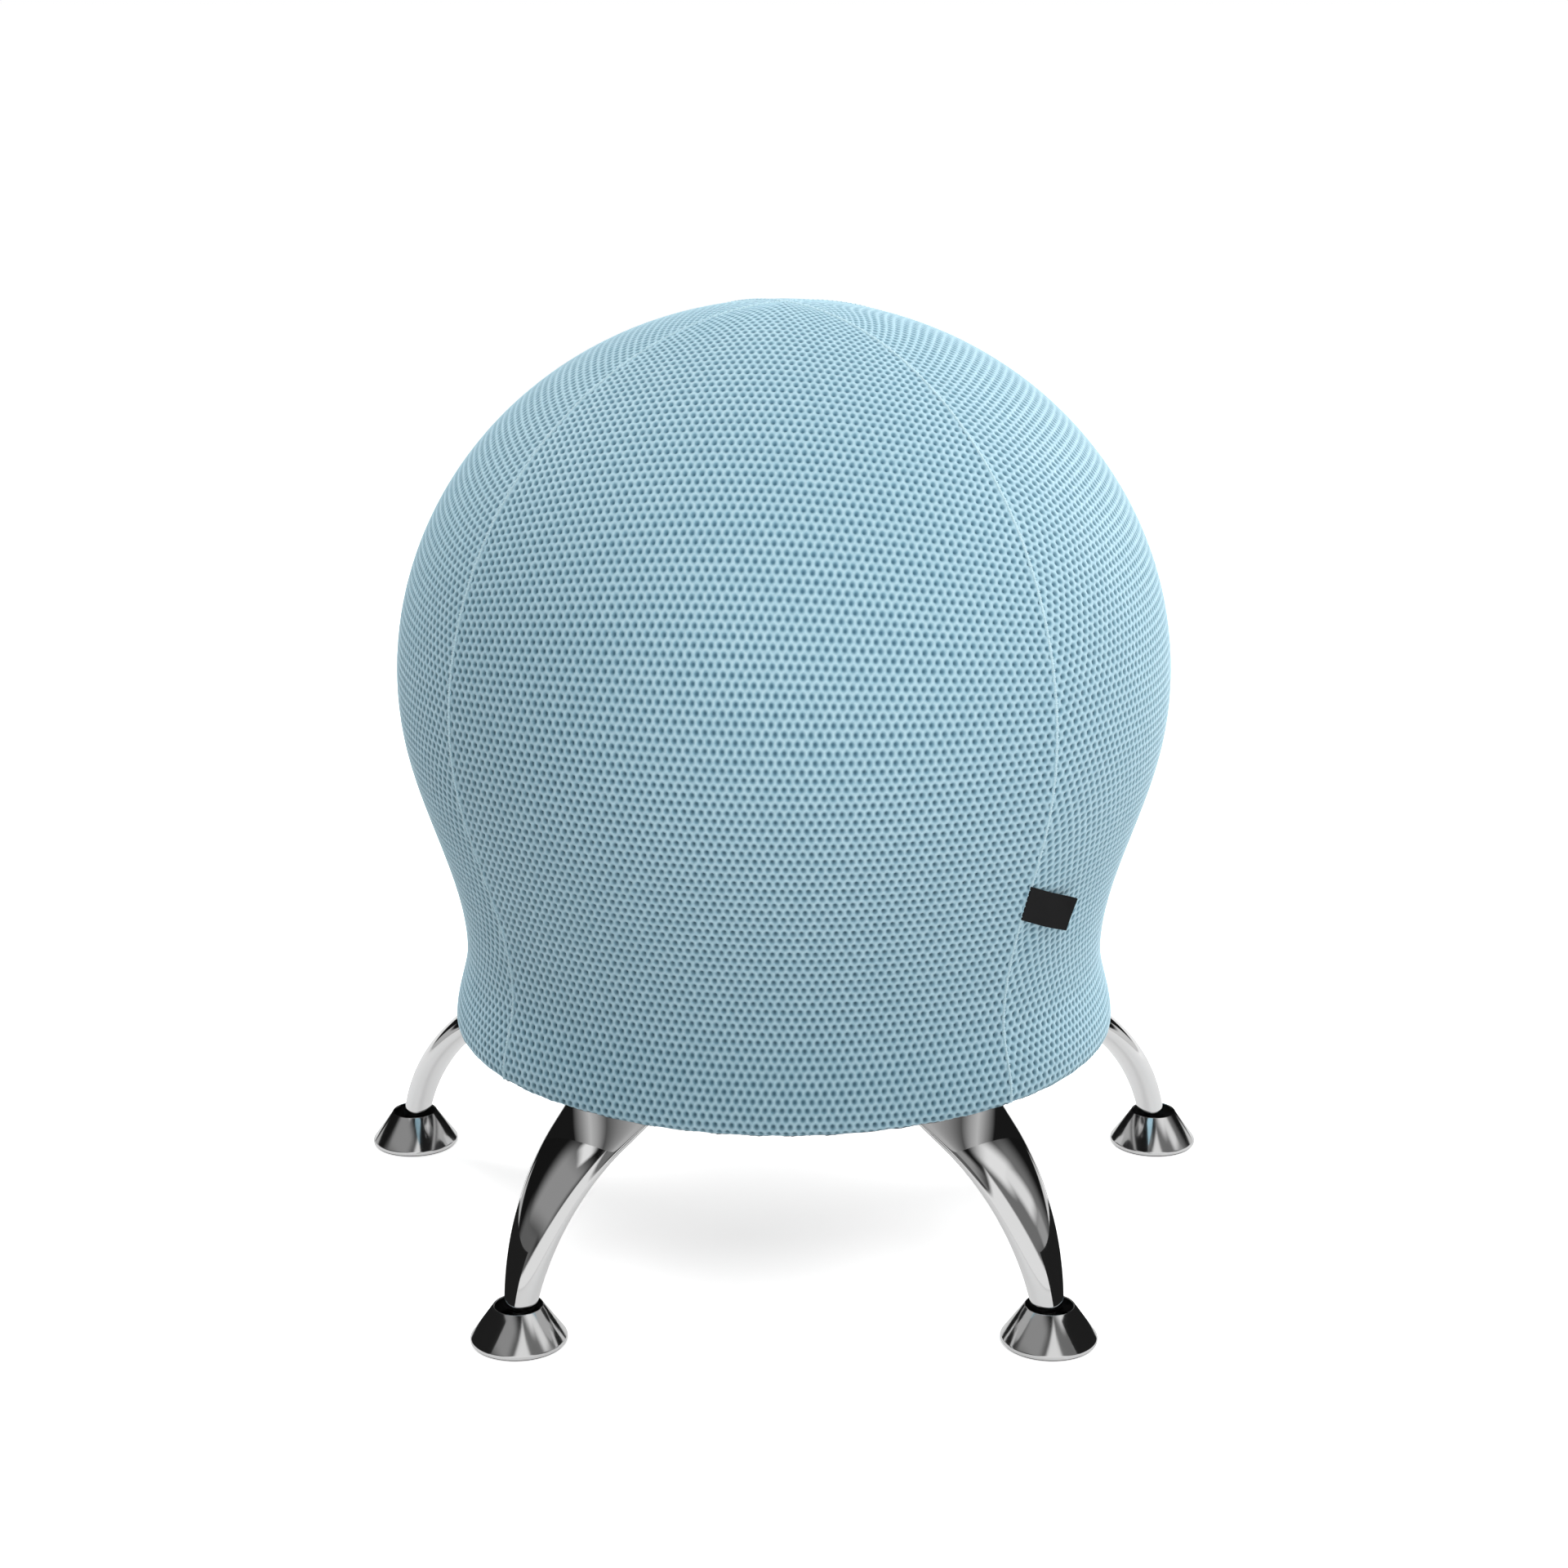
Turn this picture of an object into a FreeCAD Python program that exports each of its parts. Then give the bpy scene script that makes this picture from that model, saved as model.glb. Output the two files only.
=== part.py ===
import FreeCAD, Part
import Sketcher
import math
import os

V = FreeCAD.Vector
UP = V(0, 0, 1)

# Sizes in millimetres and degrees. The stool stands on z = 0, its seat axis is z, and -Y is its front.
sizes = {
    # cover: an oblate crown that leaves the ball below the widest circle and draws in to a waist
    "cover_radius": 230.0,
    "cover_middle": 338.2,
    "cover_top": 557.0,
    "cover_leave_angle": 12.4,
    "waist_inset": 36.5,
    "waist_height": 169.9,
    "cover_thickness": 3.0,
    "front_seam_angle": 216.0,
    "front_gore_angle": 94.0,
    # hem under the rim, with its elastic cord
    "hem_inset": 7.9,
    "elastic_radius": 1.5,
    "hem_wall": 1.25,
    "hem_clearance": 0.35,
    "fabric_gap": 0.4,
    # ball
    "ball_gap": 0.5,
    "ball_wall": 2.0,
    "valve_radius": 4.7,
    "valve_clearance": 0.3,
    "valve_head_radius": 8.0,
    "valve_head_height": 1.5,
    "valve_stem_height": 12.0,
    # label
    "label_length": 38.0,
    "label_drop": 15.0,
    "label_height": 22.0,
    "label_thickness": 0.9,
    "label_middle": 244.0,
    "label_gap": 0.15,
    # base pan
    "pan_radius": 197.9,
    "pan_base": 124.0,
    "pan_wall": 4.0,
    "pan_hole_radius": 15.0,
    "rim_edge": 1.0,
    "rim_height": 6.0,
    "rim_width": 13.9,
    "dish_radius": 300.0,
    "dish_seat_radius": 115.0,
    "crest_inset": 47.9,
    "rib_width": 3.0,
    "boss_radius": 7.0,
    "hub_radius": 22.0,
    # leg plates and their fasteners
    "plate_margin": 19.9,
    "plate_length": 82.0,
    "plate_width": 108.0,
    "plate_thickness": 5.0,
    "plate_corner": 12.0,
    "bolt_inset": 14.0,
    "bolt_radius": 3.0,
    "bolt_clearance": 0.3,
    "bolt_reach": 9.0,
    "bolt_head_radius": 5.2,
    "bolt_crown_radius": 3.6,
    "bolt_head_height": 3.2,
    "insert_radius": 4.5,
    "insert_length": 10.0,
    "insert_clearance": 0.05,
    # legs
    "foot_reach": 56.1,
    "leg_foot_slant": 10.0,
    "leg_bend_radius": 112.0,
    "leg_plate_slope": 26.0,
    "leg_top_width": 75.0,
    "leg_foot_width": 19.0,
    "leg_top_height": 20.0,
    "leg_foot_height": 16.0,
    "leg_wall": 2.0,
    "leg_end_run": 10.0,
    "leg_top_run": 74.0,
    "plug_depth": 10.0,
    "plug_clearance": 0.3,
    # ball studs and glides
    "stud_ball_radius": 5.0,
    "stud_ball_height": 10.0,
    "stud_gap": 8.0,
    "stud_neck_radius": 2.5,
    "stud_collar_radius": 4.0,
    "stud_collar_height": 2.5,
    "stud_shank_radius": 3.0,
    "stud_shank_length": 7.5,
    "stud_clearance": 0.08,
    "pad_flange_radius": 26.6,
    "pad_flange_height": 0.6,
    "pad_height": 3.0,
    "bell_base_radius": 27.4,
    "bell_top_radius": 14.4,
    "bell_height": 21.5,
    "bell_band": 2.2,
    "bell_wall": 1.0,
    "bell_clearance": 0.15,
    "socket_flange_radius": 22.5,
    "socket_flange_height": 2.0,
    "socket_post_radius": 8.0,
    "socket_lip": 2.35,
}
# Sizes that follow: the waist keeps its distance from the cover's widest circle, and the hem, rim, crest,
# plates and feet keep theirs from the edge of the pan.
followers = {
    "waist_radius": "=cover_radius - waist_inset",
    "hem_radius": "=pan_radius - hem_inset",
    "rim_inner_radius": "=pan_radius - rim_width",
    "crest_radius": "=pan_radius - crest_inset",
    "plate_inner_radius": "=pan_radius - plate_margin - plate_length",
    "foot_radius": "=pan_radius + foot_reach",
}
places = ("front_right", "side_right", "rear", "side_left", "front_left")
first_place = -54.0
place_step = 360.0 / len(places)

doc = FreeCAD.newDocument("office_stool")
sheet = doc.addObject("Spreadsheet::Sheet", "sizes")
for row, (name, value) in enumerate([*sizes.items(), *followers.items()], 1):
    sheet.set("A%d" % row, name)
    sheet.set("B%d" % row, str(value))
    sheet.setAlias("B%d" % row, name)
doc.recompute()


class Size:
    # a size, or a sum of sizes, as the sheet's expression and as its number
    def __init__(self, text, number):
        self.text = text
        self.number = number

    def __add__(self, other):
        other = as_size(other)
        return Size("(%s + %s)" % (self.text, other.text), self.number + other.number)

    def __sub__(self, other):
        other = as_size(other)
        return Size("(%s - %s)" % (self.text, other.text), self.number - other.number)

    def __mul__(self, other):
        other = as_size(other)
        return Size("(%s * %s)" % (self.text, other.text), self.number * other.number)

    def __truediv__(self, other):
        other = as_size(other)
        return Size("(%s / %s)" % (self.text, other.text), self.number / other.number)


def as_size(value):
    return value if isinstance(value, Size) else Size(repr(float(value)), float(value))


def root(value):
    return Size("sqrt(%s)" % value.text, math.sqrt(value.number))


def get(name):
    return Size("sizes." + name, float(getattr(sheet, name)))


def num(name):
    return get(name).number


parts = []


def keep(piece, label, placement=None):
    piece.Label = label
    if placement is not None:
        piece.Placement = placement
    parts.append(piece)
    return piece


def shaped(label, shape, placement=None):
    piece = doc.addObject("Part::Feature", label)
    piece.Shape = shape
    return keep(piece, label, placement)


def bind(thing, **bound):
    for key, value in bound.items():
        thing.setExpression(key, as_size(value).text)
    return thing


def turn(angle, point=V(0, 0, 0)):
    return FreeCAD.Placement(point, FreeCAD.Rotation(UP, angle))


def place_turn(index):
    return turn(first_place + place_step * index)


def sketch_on(body, role):
    sketch = body.newObject("Sketcher::SketchObject", body.Name + "_sketch")
    plane = next(f for f in body.Origin.OriginFeatures if f.Role == role)
    sketch.AttachmentSupport = (plane, [""])
    sketch.MapMode = "FlatFace"
    return sketch


def fix_point(sketch, side, end, x, y):
    for kind, axis, value in (("DistanceX", -2, x), ("DistanceY", -1, y)):
        if value.number == 0:
            sketch.addConstraint(Sketcher.Constraint("PointOnObject", side, end, axis))
        else:
            at = sketch.addConstraint(Sketcher.Constraint(kind, -1, 1, side, end, value.number))
            sketch.setExpression("Constraints[%d]" % at, value.text)


def outline(sketch, corners, arcs=None):
    # A closed outline through the corners. arcs gives the sides that are arcs, each with its radius and
    # the hand that its centre lies on: 1 to the left of the way along the outline, -1 to the right.
    corners = [(as_size(x), as_size(y)) for x, y in corners]
    arcs = arcs or {}
    points = [V(x.number, y.number, 0) for x, y in corners]
    ends = []
    for i, start in enumerate(points):
        stop = points[(i + 1) % len(points)]
        if i not in arcs:
            ends.append((sketch.addGeometry(Part.LineSegment(start, stop)), 1, 2))
            continue
        radius, hand = arcs[i]
        along = stop - start
        across = V(-along.y, along.x, 0).normalize() * hand
        centre = (start + stop) * 0.5 + across * math.sqrt(radius.number**2 - along.Length**2 / 4)
        turns = [math.atan2(p.y - centre.y, p.x - centre.x) for p in (start, stop)[::hand]]
        arc = Part.ArcOfCircle(Part.Circle(centre, UP, radius.number), *turns)
        ends.append((sketch.addGeometry(arc), *(1, 2)[::hand]))
    for i, (side, _, stop) in enumerate(ends):
        following, start, _ = ends[(i + 1) % len(ends)]
        sketch.addConstraint(Sketcher.Constraint("Coincident", side, stop, following, start))
    for (side, start, _), (x, y) in zip(ends, corners):
        fix_point(sketch, side, start, x, y)
    for i, (radius, _) in arcs.items():
        at = sketch.addConstraint(Sketcher.Constraint("Radius", ends[i][0], radius.number))
        sketch.setExpression("Constraints[%d]" % at, radius.text)


def turned(name, corners, arcs=None):
    # a body turned about z from its half section
    body = doc.addObject("PartDesign::Body", name)
    sketch = sketch_on(body, "XZ_Plane")
    outline(sketch, corners, arcs)
    revolution = body.newObject("PartDesign::Revolution", name + "_turn")
    revolution.Profile = sketch
    revolution.ReferenceAxis = (sketch, ["V_Axis"])
    revolution.Angle = 360
    return body


def padded(name, corners, height, holes=(), hole_radius=None):
    # a flat body of the outline's shape, with round holes
    body = doc.addObject("PartDesign::Body", name)
    sketch = sketch_on(body, "XY_Plane")
    outline(sketch, corners)
    for x, y in holes:
        hole = sketch.addGeometry(Part.Circle(V(x.number, y.number, 0), UP, hole_radius.number))
        fix_point(sketch, hole, 3, x, y)
        at = sketch.addConstraint(Sketcher.Constraint("Radius", hole, hole_radius.number))
        sketch.setExpression("Constraints[%d]" % at, hole_radius.text)
    pad = body.newObject("PartDesign::Pad", name + "_pad")
    pad.Profile = sketch
    return body, bind(pad, Length=height)


# Half sections of the cover and the ball, in the x-z plane.
def on_plane(r, z):
    return V(r, 0, z)


def oval_arc(radius, height, middle, start, stop):
    # part of an oval about the seat axis, from one angle above its widest circle to another
    points = [on_plane(math.cos(a), math.sin(a)) for a in (start, (start + stop) / 2, stop)]
    stretch = FreeCAD.Matrix()
    stretch.scale(V(radius, 1, height))
    stretch.move(V(0, 0, middle))
    return Part.Arc(*points).toShape().transformGeometry(stretch)


def blend_curve(start, start_way, stop, stop_way):
    # a smooth curve that leaves and arrives along the given ways
    reach = (stop - start).Length / 3
    curve = Part.BezierCurve()
    curve.setPoles([start, start + start_way * reach, stop - stop_way * reach, stop])
    return curve.toShape()


def lean_angle():
    return math.radians(num("cover_leave_angle"))


def oval_below(inset):
    # half height of the cover's oval under its widest circle, where it follows the ball down to the pan
    return num("cover_middle") - num("pan_base") - num("pan_wall") + num("cover_thickness") - inset


def saddle(inset):
    # the cover between the ball and the rim, at a depth under its outer face
    wide = num("cover_radius") - inset
    tall = oval_below(inset)
    leave = on_plane(wide * math.cos(lean_angle()), num("cover_middle") - tall * math.sin(lean_angle()))
    way = on_plane(-wide * math.sin(lean_angle()), -tall * math.cos(lean_angle())).normalize()
    waist = on_plane(num("waist_radius") - inset, num("waist_height"))
    flare = num("pan_radius") + num("fabric_gap") + num("cover_thickness") - inset
    edge = on_plane(flare, num("pan_base") + num("rim_edge"))
    down = on_plane(0, -1)
    return leave, way, waist, edge, down


def cover_face():
    thick = num("cover_thickness")
    middle = num("cover_middle")
    above = num("cover_top") - middle
    turn_centre = on_plane(num("pan_radius") - num("rim_edge"), num("pan_base") + num("rim_edge"))
    edges = []
    bottoms = []
    for inset in (0.0, thick):
        leave, way, waist, edge, down = saddle(inset)
        wide = num("cover_radius") - inset
        edges.append(oval_arc(wide, above - inset, middle, math.pi / 2, 0))
        edges.append(oval_arc(wide, oval_below(inset), middle, 0, -lean_angle()))
        edges.append(blend_curve(leave, way, waist, down))
        edges.append(blend_curve(waist, down, edge, down))
        reach = num("rim_edge") + num("fabric_gap") + thick - inset
        half = reach * math.sqrt(0.5)
        bottom = turn_centre - on_plane(0, reach)
        edges.append(Part.Arc(edge, turn_centre + on_plane(half, -half), bottom).toShape())
        bottoms.append(bottom)
    outer_bottom, inner_bottom = bottoms
    tunnel = num("elastic_radius") + num("hem_clearance")
    bead = tunnel + num("hem_wall")
    bead_centre = on_plane(num("hem_radius"), inner_bottom.z - bead)
    bead_top = bead_centre + on_plane(0, bead)
    rise = outer_bottom.z - bead_centre.z
    meet = bead_centre + on_plane(math.sqrt(bead**2 - rise**2), rise)
    edges.append(Part.makeLine(inner_bottom, bead_top))
    edges.append(Part.Arc(bead_top, bead_centre - on_plane(bead, 0), bead_centre - on_plane(0, bead)).toShape())
    low = (-math.pi / 2 + math.asin(rise / bead)) / 2
    side = bead_centre + on_plane(bead * math.cos(low), bead * math.sin(low))
    edges.append(Part.Arc(bead_centre - on_plane(0, bead), side, meet).toShape())
    edges.append(Part.makeLine(meet, outer_bottom))
    crown = on_plane(0, num("cover_top"))
    edges.append(Part.makeLine(crown, crown - on_plane(0, thick)))
    section = Part.Face(Part.Wire(Part.__sortEdges__(edges)))
    ring = Part.Wire(Part.makeCircle(tunnel, bead_centre, V(0, 1, 0)))
    return section.cut(Part.Face(ring)).Faces[0], bead_centre


def ball_face():
    middle = num("cover_middle")
    wide = num("cover_radius") - num("cover_thickness") - num("ball_gap")
    above = num("cover_top") - num("cover_thickness") - num("ball_gap") - middle
    below = middle - num("pan_base") - num("pan_wall") - num("ball_gap")
    hole = num("valve_radius") + num("valve_clearance")
    edges = []
    tops = []
    lows = []
    for inset in (0.0, num("ball_wall")):
        low_angle = -math.acos(hole / (wide - inset))
        edges.append(oval_arc(wide - inset, above - inset, middle, math.pi / 2, 0))
        edges.append(oval_arc(wide - inset, below - inset, middle, 0, low_angle))
        tops.append(on_plane(0, middle + above - inset))
        lows.append(on_plane(hole, middle + (below - inset) * math.sin(low_angle)))
    edges.append(Part.makeLine(*tops))
    edges.append(Part.makeLine(*lows))
    return Part.Face(Part.Wire(Part.__sortEdges__(edges)))


# Seat: the hollow ball, its plug and the four gores of the cover.
shaped("ball", ball_face().revolve(V(0, 0, 0), UP, 360))

plug_top = get("pan_base") + get("pan_wall") + get("ball_gap")
plug_low = plug_top - get("valve_clearance") - get("valve_head_height")
keep(
    turned(
        "valve_plug",
        [
            (0, plug_low),
            (get("valve_head_radius"), plug_low),
            (get("valve_head_radius"), plug_low + get("valve_head_height")),
            (get("valve_radius"), plug_low + get("valve_head_height")),
            (get("valve_radius"), plug_low + get("valve_stem_height")),
            (0, plug_low + get("valve_stem_height")),
        ],
    ),
    "valve_plug",
)

gore_section, hem_centre = cover_face()
seam = num("front_seam_angle")
for gore in ("front", "right", "back", "left"):
    angle = num("front_gore_angle")
    if gore != "front":
        angle = (360 - num("front_gore_angle")) / 3
    shaped("cover_" + gore, gore_section.revolve(V(0, 0, 0), UP, angle), turn(seam))
    seam += angle

elastic = doc.addObject("Part::Torus", "hem_elastic")
bind(elastic, Radius1=get("hem_radius"), Radius2=get("elastic_radius"))
keep(elastic, "hem_elastic", turn(0, V(0, 0, hem_centre.z)))

# The label hangs from the seam between the front and right gores, flat against the cover.
leave, leave_way, waist, _, down = saddle(0.0)
seam_curve = blend_curve(leave, leave_way, waist, down)
level = Part.makeLine(on_plane(0, num("label_middle")), on_plane(2 * num("cover_radius"), num("label_middle")))
_, near, _ = seam_curve.distToShape(level)
seam_point = near[0][0]
below = seam_curve.Curve.tangent(seam_curve.Curve.parameter(seam_point))[0].normalize()
rise_way = below * (1 if below.z > 0 else -1)
face_way = V(rise_way.z, 0, -rise_way.x)
side_way = V(0, 1, 0)
label_axes = FreeCAD.Rotation(side_way, rise_way, face_way, "ZXY")
label_corner = seam_point + face_way * num("label_gap")
label_corner -= rise_way * (num("label_drop") + num("label_height") / 2)
label_place = turn(num("front_seam_angle") + num("front_gore_angle"))
label, _ = padded(
    "label",
    [
        (0, get("label_drop")),
        (get("label_length"), 0),
        (get("label_length"), get("label_height")),
        (0, get("label_drop") + get("label_height")),
    ],
    get("label_thickness"),
)
keep(label, "label", label_place.multiply(FreeCAD.Placement(label_corner, label_axes)))

# Base pan: a turned shell with a dish, a crest and a rim, over ribs and bosses that end in one plane.
base = get("pan_base")
wall = get("pan_wall")
dish_centre = base + wall + get("dish_radius")


def dish_height(radius, depth):
    reach = get("dish_radius") + depth
    return dish_centre - root(reach * reach - radius * radius)


seat_r, hole_r, crest_r = get("dish_seat_radius"), get("pan_hole_radius"), get("crest_radius")
rim_top = base + get("rim_height")
shell = turned(
    "pan_shell",
    [
        (hole_r, dish_height(hole_r, wall)),
        (seat_r, dish_height(seat_r, wall)),
        (crest_r - wall / 2, dish_height(seat_r, wall)),
        (get("rim_inner_radius") - wall, base),
        (get("pan_radius") - get("rim_edge"), base),
        (get("pan_radius"), base + get("rim_edge")),
        (get("pan_radius"), rim_top - get("rim_edge")),
        (get("pan_radius") - get("rim_edge"), rim_top),
        (get("rim_inner_radius"), rim_top),
        (crest_r, dish_height(seat_r, as_size(0))),
        (seat_r, dish_height(seat_r, as_size(0))),
        (hole_r, dish_height(hole_r, as_size(0))),
    ],
    {
        0: (get("dish_radius") + wall, 1),
        4: (get("rim_edge"), 1),
        6: (get("rim_edge"), 1),
        10: (get("dish_radius"), -1),
    },
)
under_shell = turned(
    "under_shell",
    [
        (hole_r, base),
        (get("rim_inner_radius") - wall / 2, base),
        (crest_r - wall / 2, dish_height(seat_r, wall / 2)),
        (seat_r, dish_height(seat_r, wall / 2)),
        (hole_r, dish_height(hole_r, wall / 2)),
    ],
    {3: (get("dish_radius") + wall / 2, -1)},
)

rib = get("rib_width")
rib_rise = dish_height(seat_r, as_size(0)) - base
bolt_inner = get("plate_inner_radius") + get("bolt_inset")
bolt_outer = get("plate_inner_radius") + get("plate_length") - get("bolt_inset")
bolt_side = get("plate_width") / 2 - get("bolt_inset")


def rib_bar(name, index, x, y, length, width, between=False):
    bar = bind(doc.addObject("Part::Box", name), Length=length, Width=width, Height=rib_rise)
    spin = turn(first_place + place_step * (index + (0.5 if between else 0)))
    bar.Placement = spin.multiply(turn(0, V(x.number, y.number, base.number)))
    return bar


def upright(name, radius, height, x=0.0, y=0.0, z=0.0, index=0):
    post = bind(doc.addObject("Part::Cylinder", name), Radius=radius, Height=height)
    post.Placement = place_turn(index).multiply(turn(0, V(x, y, z)))
    return post


bolt_spots = [(r.number, s * bolt_side.number) for r in (bolt_inner, bolt_outer) for s in (-1, 1)]
ribs = []
insert_holes = []
for i in range(len(places)):
    for s in (-1, 1):
        y = bolt_side * s - rib / 2
        ribs.append(rib_bar("side_rib", i, bolt_inner, y, get("rim_inner_radius") - bolt_inner, rib))
    for r in (bolt_inner, bolt_outer):
        ribs.append(rib_bar("cross_rib", i, r - rib / 2, bolt_side * -1, rib, bolt_side * 2))
    hub_edge = get("hub_radius") - rib / 2
    half_rib = rib * -0.5
    ribs.append(rib_bar("centre_rib", i, hub_edge, half_rib, bolt_inner - hub_edge, rib))
    ribs.append(rib_bar("spoke_rib", i, hub_edge, half_rib, get("rim_inner_radius") - hub_edge, rib, True))
    for x, y in bolt_spots:
        ribs.append(upright("boss", get("boss_radius"), rib_rise, x, y, base.number, i))
        hole_radius = get("insert_radius") + get("insert_clearance")
        depth = get("insert_length") + get("insert_clearance")
        insert_holes.append(upright("insert_hole", hole_radius, depth, x, y, base.number, i))
hub = doc.addObject("Part::Cut", "hub_ring")
hub.Base = upright("hub_outer", get("hub_radius"), rib_rise, z=base.number)
hub.Tool = upright("hub_inner", get("hub_radius") - rib, rib_rise, z=base.number)
rib_set = doc.addObject("Part::MultiFuse", "rib_set")
rib_set.Shapes = ribs + [hub]
rib_web = doc.addObject("Part::Common", "rib_web")
rib_web.Base = rib_set
rib_web.Tool = under_shell
ribbed = doc.addObject("Part::Fuse", "ribbed_pan")
ribbed.Base = shell
ribbed.Tool = rib_web
holes = doc.addObject("Part::Compound", "insert_holes")
holes.Links = insert_holes
pan = doc.addObject("Part::Cut", "base_pan")
pan.Base = ribbed
pan.Tool = holes
keep(pan, "base_pan")

# Fasteners: one bolt and one insert, set at every hole of the five plates.
plate_low = base - get("plate_thickness")
bolt = turned(
    "bolt",
    [
        (0, 0),
        (get("bolt_crown_radius"), 0),
        (get("bolt_head_radius"), get("bolt_head_height") * 0.6),
        (get("bolt_head_radius"), get("bolt_head_height")),
        (get("bolt_radius"), get("bolt_head_height")),
        (get("bolt_radius"), get("bolt_head_height") + get("plate_thickness") + get("bolt_reach")),
        (0, get("bolt_head_height") + get("plate_thickness") + get("bolt_reach")),
    ],
)
bore = get("bolt_radius") + get("insert_clearance")
insert = turned(
    "insert",
    [
        (bore, 0),
        (get("insert_radius"), 0),
        (get("insert_radius"), get("insert_length")),
        (bore, get("insert_length")),
    ],
)
doc.recompute()


def at_every_hole(shape, height):
    copies = []
    for i in range(len(places)):
        for x, y in bolt_spots:
            copy = shape.copy()
            copy.Placement = place_turn(i).multiply(turn(0, V(x, y, height)))
            copies.append(copy)
    return Part.makeCompound(copies)


shaped("leg_bolts", at_every_hole(bolt.Shape, plate_low.number - num("bolt_head_height")))
shaped("threaded_inserts", at_every_hole(insert.Shape, base.number))

# Legs: a tapered oval tube that runs down from its plate, bends and ends above the glide. Stations are
# distances along the tube's centre line from the stud's ball.
slant = math.radians(num("leg_foot_slant"))
slope = math.radians(num("leg_plate_slope"))
bend = num("leg_bend_radius")
bend_turn = math.pi / 2 - slant - slope
bend_length = bend * bend_turn
end_run = num("leg_end_run")
tube_start = num("stud_gap")
tube_end = end_run + bend_length + num("leg_top_run")
foot = V(num("foot_radius"), 0, num("stud_ball_height"))
foot_way = V(-math.sin(slant), 0, math.cos(slant))
bend_start = foot + foot_way * end_run
bend_centre = bend_start - V(math.cos(slant), 0, math.sin(slant)) * bend


def leg_point(station):
    # point on the centre line, the ways out of the bend and along the tube, and the share of its length
    turned_by = min(max((station - end_run) / bend, 0.0), bend_turn)
    lean = slant + turned_by
    out = V(math.cos(lean), 0, math.sin(lean))
    way = V(-math.sin(lean), 0, math.cos(lean))
    past = station - end_run - bend * turned_by
    share = (station - tube_start) / (tube_end - tube_start)
    return bend_centre + out * bend + way * past, out, way, share


def leg_loft(stations, inset):
    rings = []
    for station in stations:
        point, out, way, share = leg_point(station)
        width = num("leg_foot_width") + (num("leg_top_width") - num("leg_foot_width")) * share
        height = num("leg_foot_height") + (num("leg_top_height") - num("leg_foot_height")) * share
        oval = FreeCAD.Matrix()
        oval.scale(V(width / 2 - inset, height / 2 - inset, 1))
        axes = FreeCAD.Rotation(V(0, 1, 0), out * -1, way, "ZXY")
        oval = FreeCAD.Placement(point, axes).toMatrix().multiply(oval)
        rings.append(Part.Wire(Part.makeCircle(1).transformGeometry(oval).Edges))
    return Part.makeLoft(rings, True, False)


bend_steps = 5
leg_stations = [tube_start]
leg_stations += [end_run + bend_length * i / bend_steps for i in range(bend_steps + 1)]
leg_stations += [tube_end - num("leg_top_run") / 2, tube_end]
tube = leg_loft(leg_stations, 0.0).cut(leg_loft(leg_stations, num("leg_wall")))
reach = 2 * num("foot_radius")
above_plate = Part.makeBox(reach, reach, reach, V(0, -reach / 2, plate_low.number))
tube = tube.cut(above_plate)

plug_stations = [tube_start, end_run, tube_start + num("plug_depth")]
end_plug = leg_loft(plug_stations, num("leg_wall") + num("plug_clearance"))
shank = Part.makeCylinder(num("stud_shank_radius"), tube_start + num("stud_shank_length"), foot, foot_way)
end_plug = end_plug.cut(shank)

ball_r = get("stud_ball_radius")
neck_r = get("stud_neck_radius")
stud_top = ball_r + get("stud_gap")
collar_low = stud_top - get("stud_collar_height")
seat_radius = ball_r + get("stud_clearance")
ball_z = get("stud_ball_height")
lip = get("socket_lip")
mouth = root(seat_radius * seat_radius - lip * lip)
pad_top = get("pad_height")
bell_low = get("pad_flange_height")
spigot = get("bell_base_radius") - get("bell_wall") - get("bell_clearance")
stud_base = foot - foot_way * num("stud_ball_radius")
stud_lean = FreeCAD.Rotation(V(0, 1, 0), -num("leg_foot_slant"))
hole_rows = (get("bolt_inset"), get("plate_length") - get("bolt_inset"))
hole_lines = (get("bolt_inset"), get("plate_width") - get("bolt_inset"))

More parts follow.
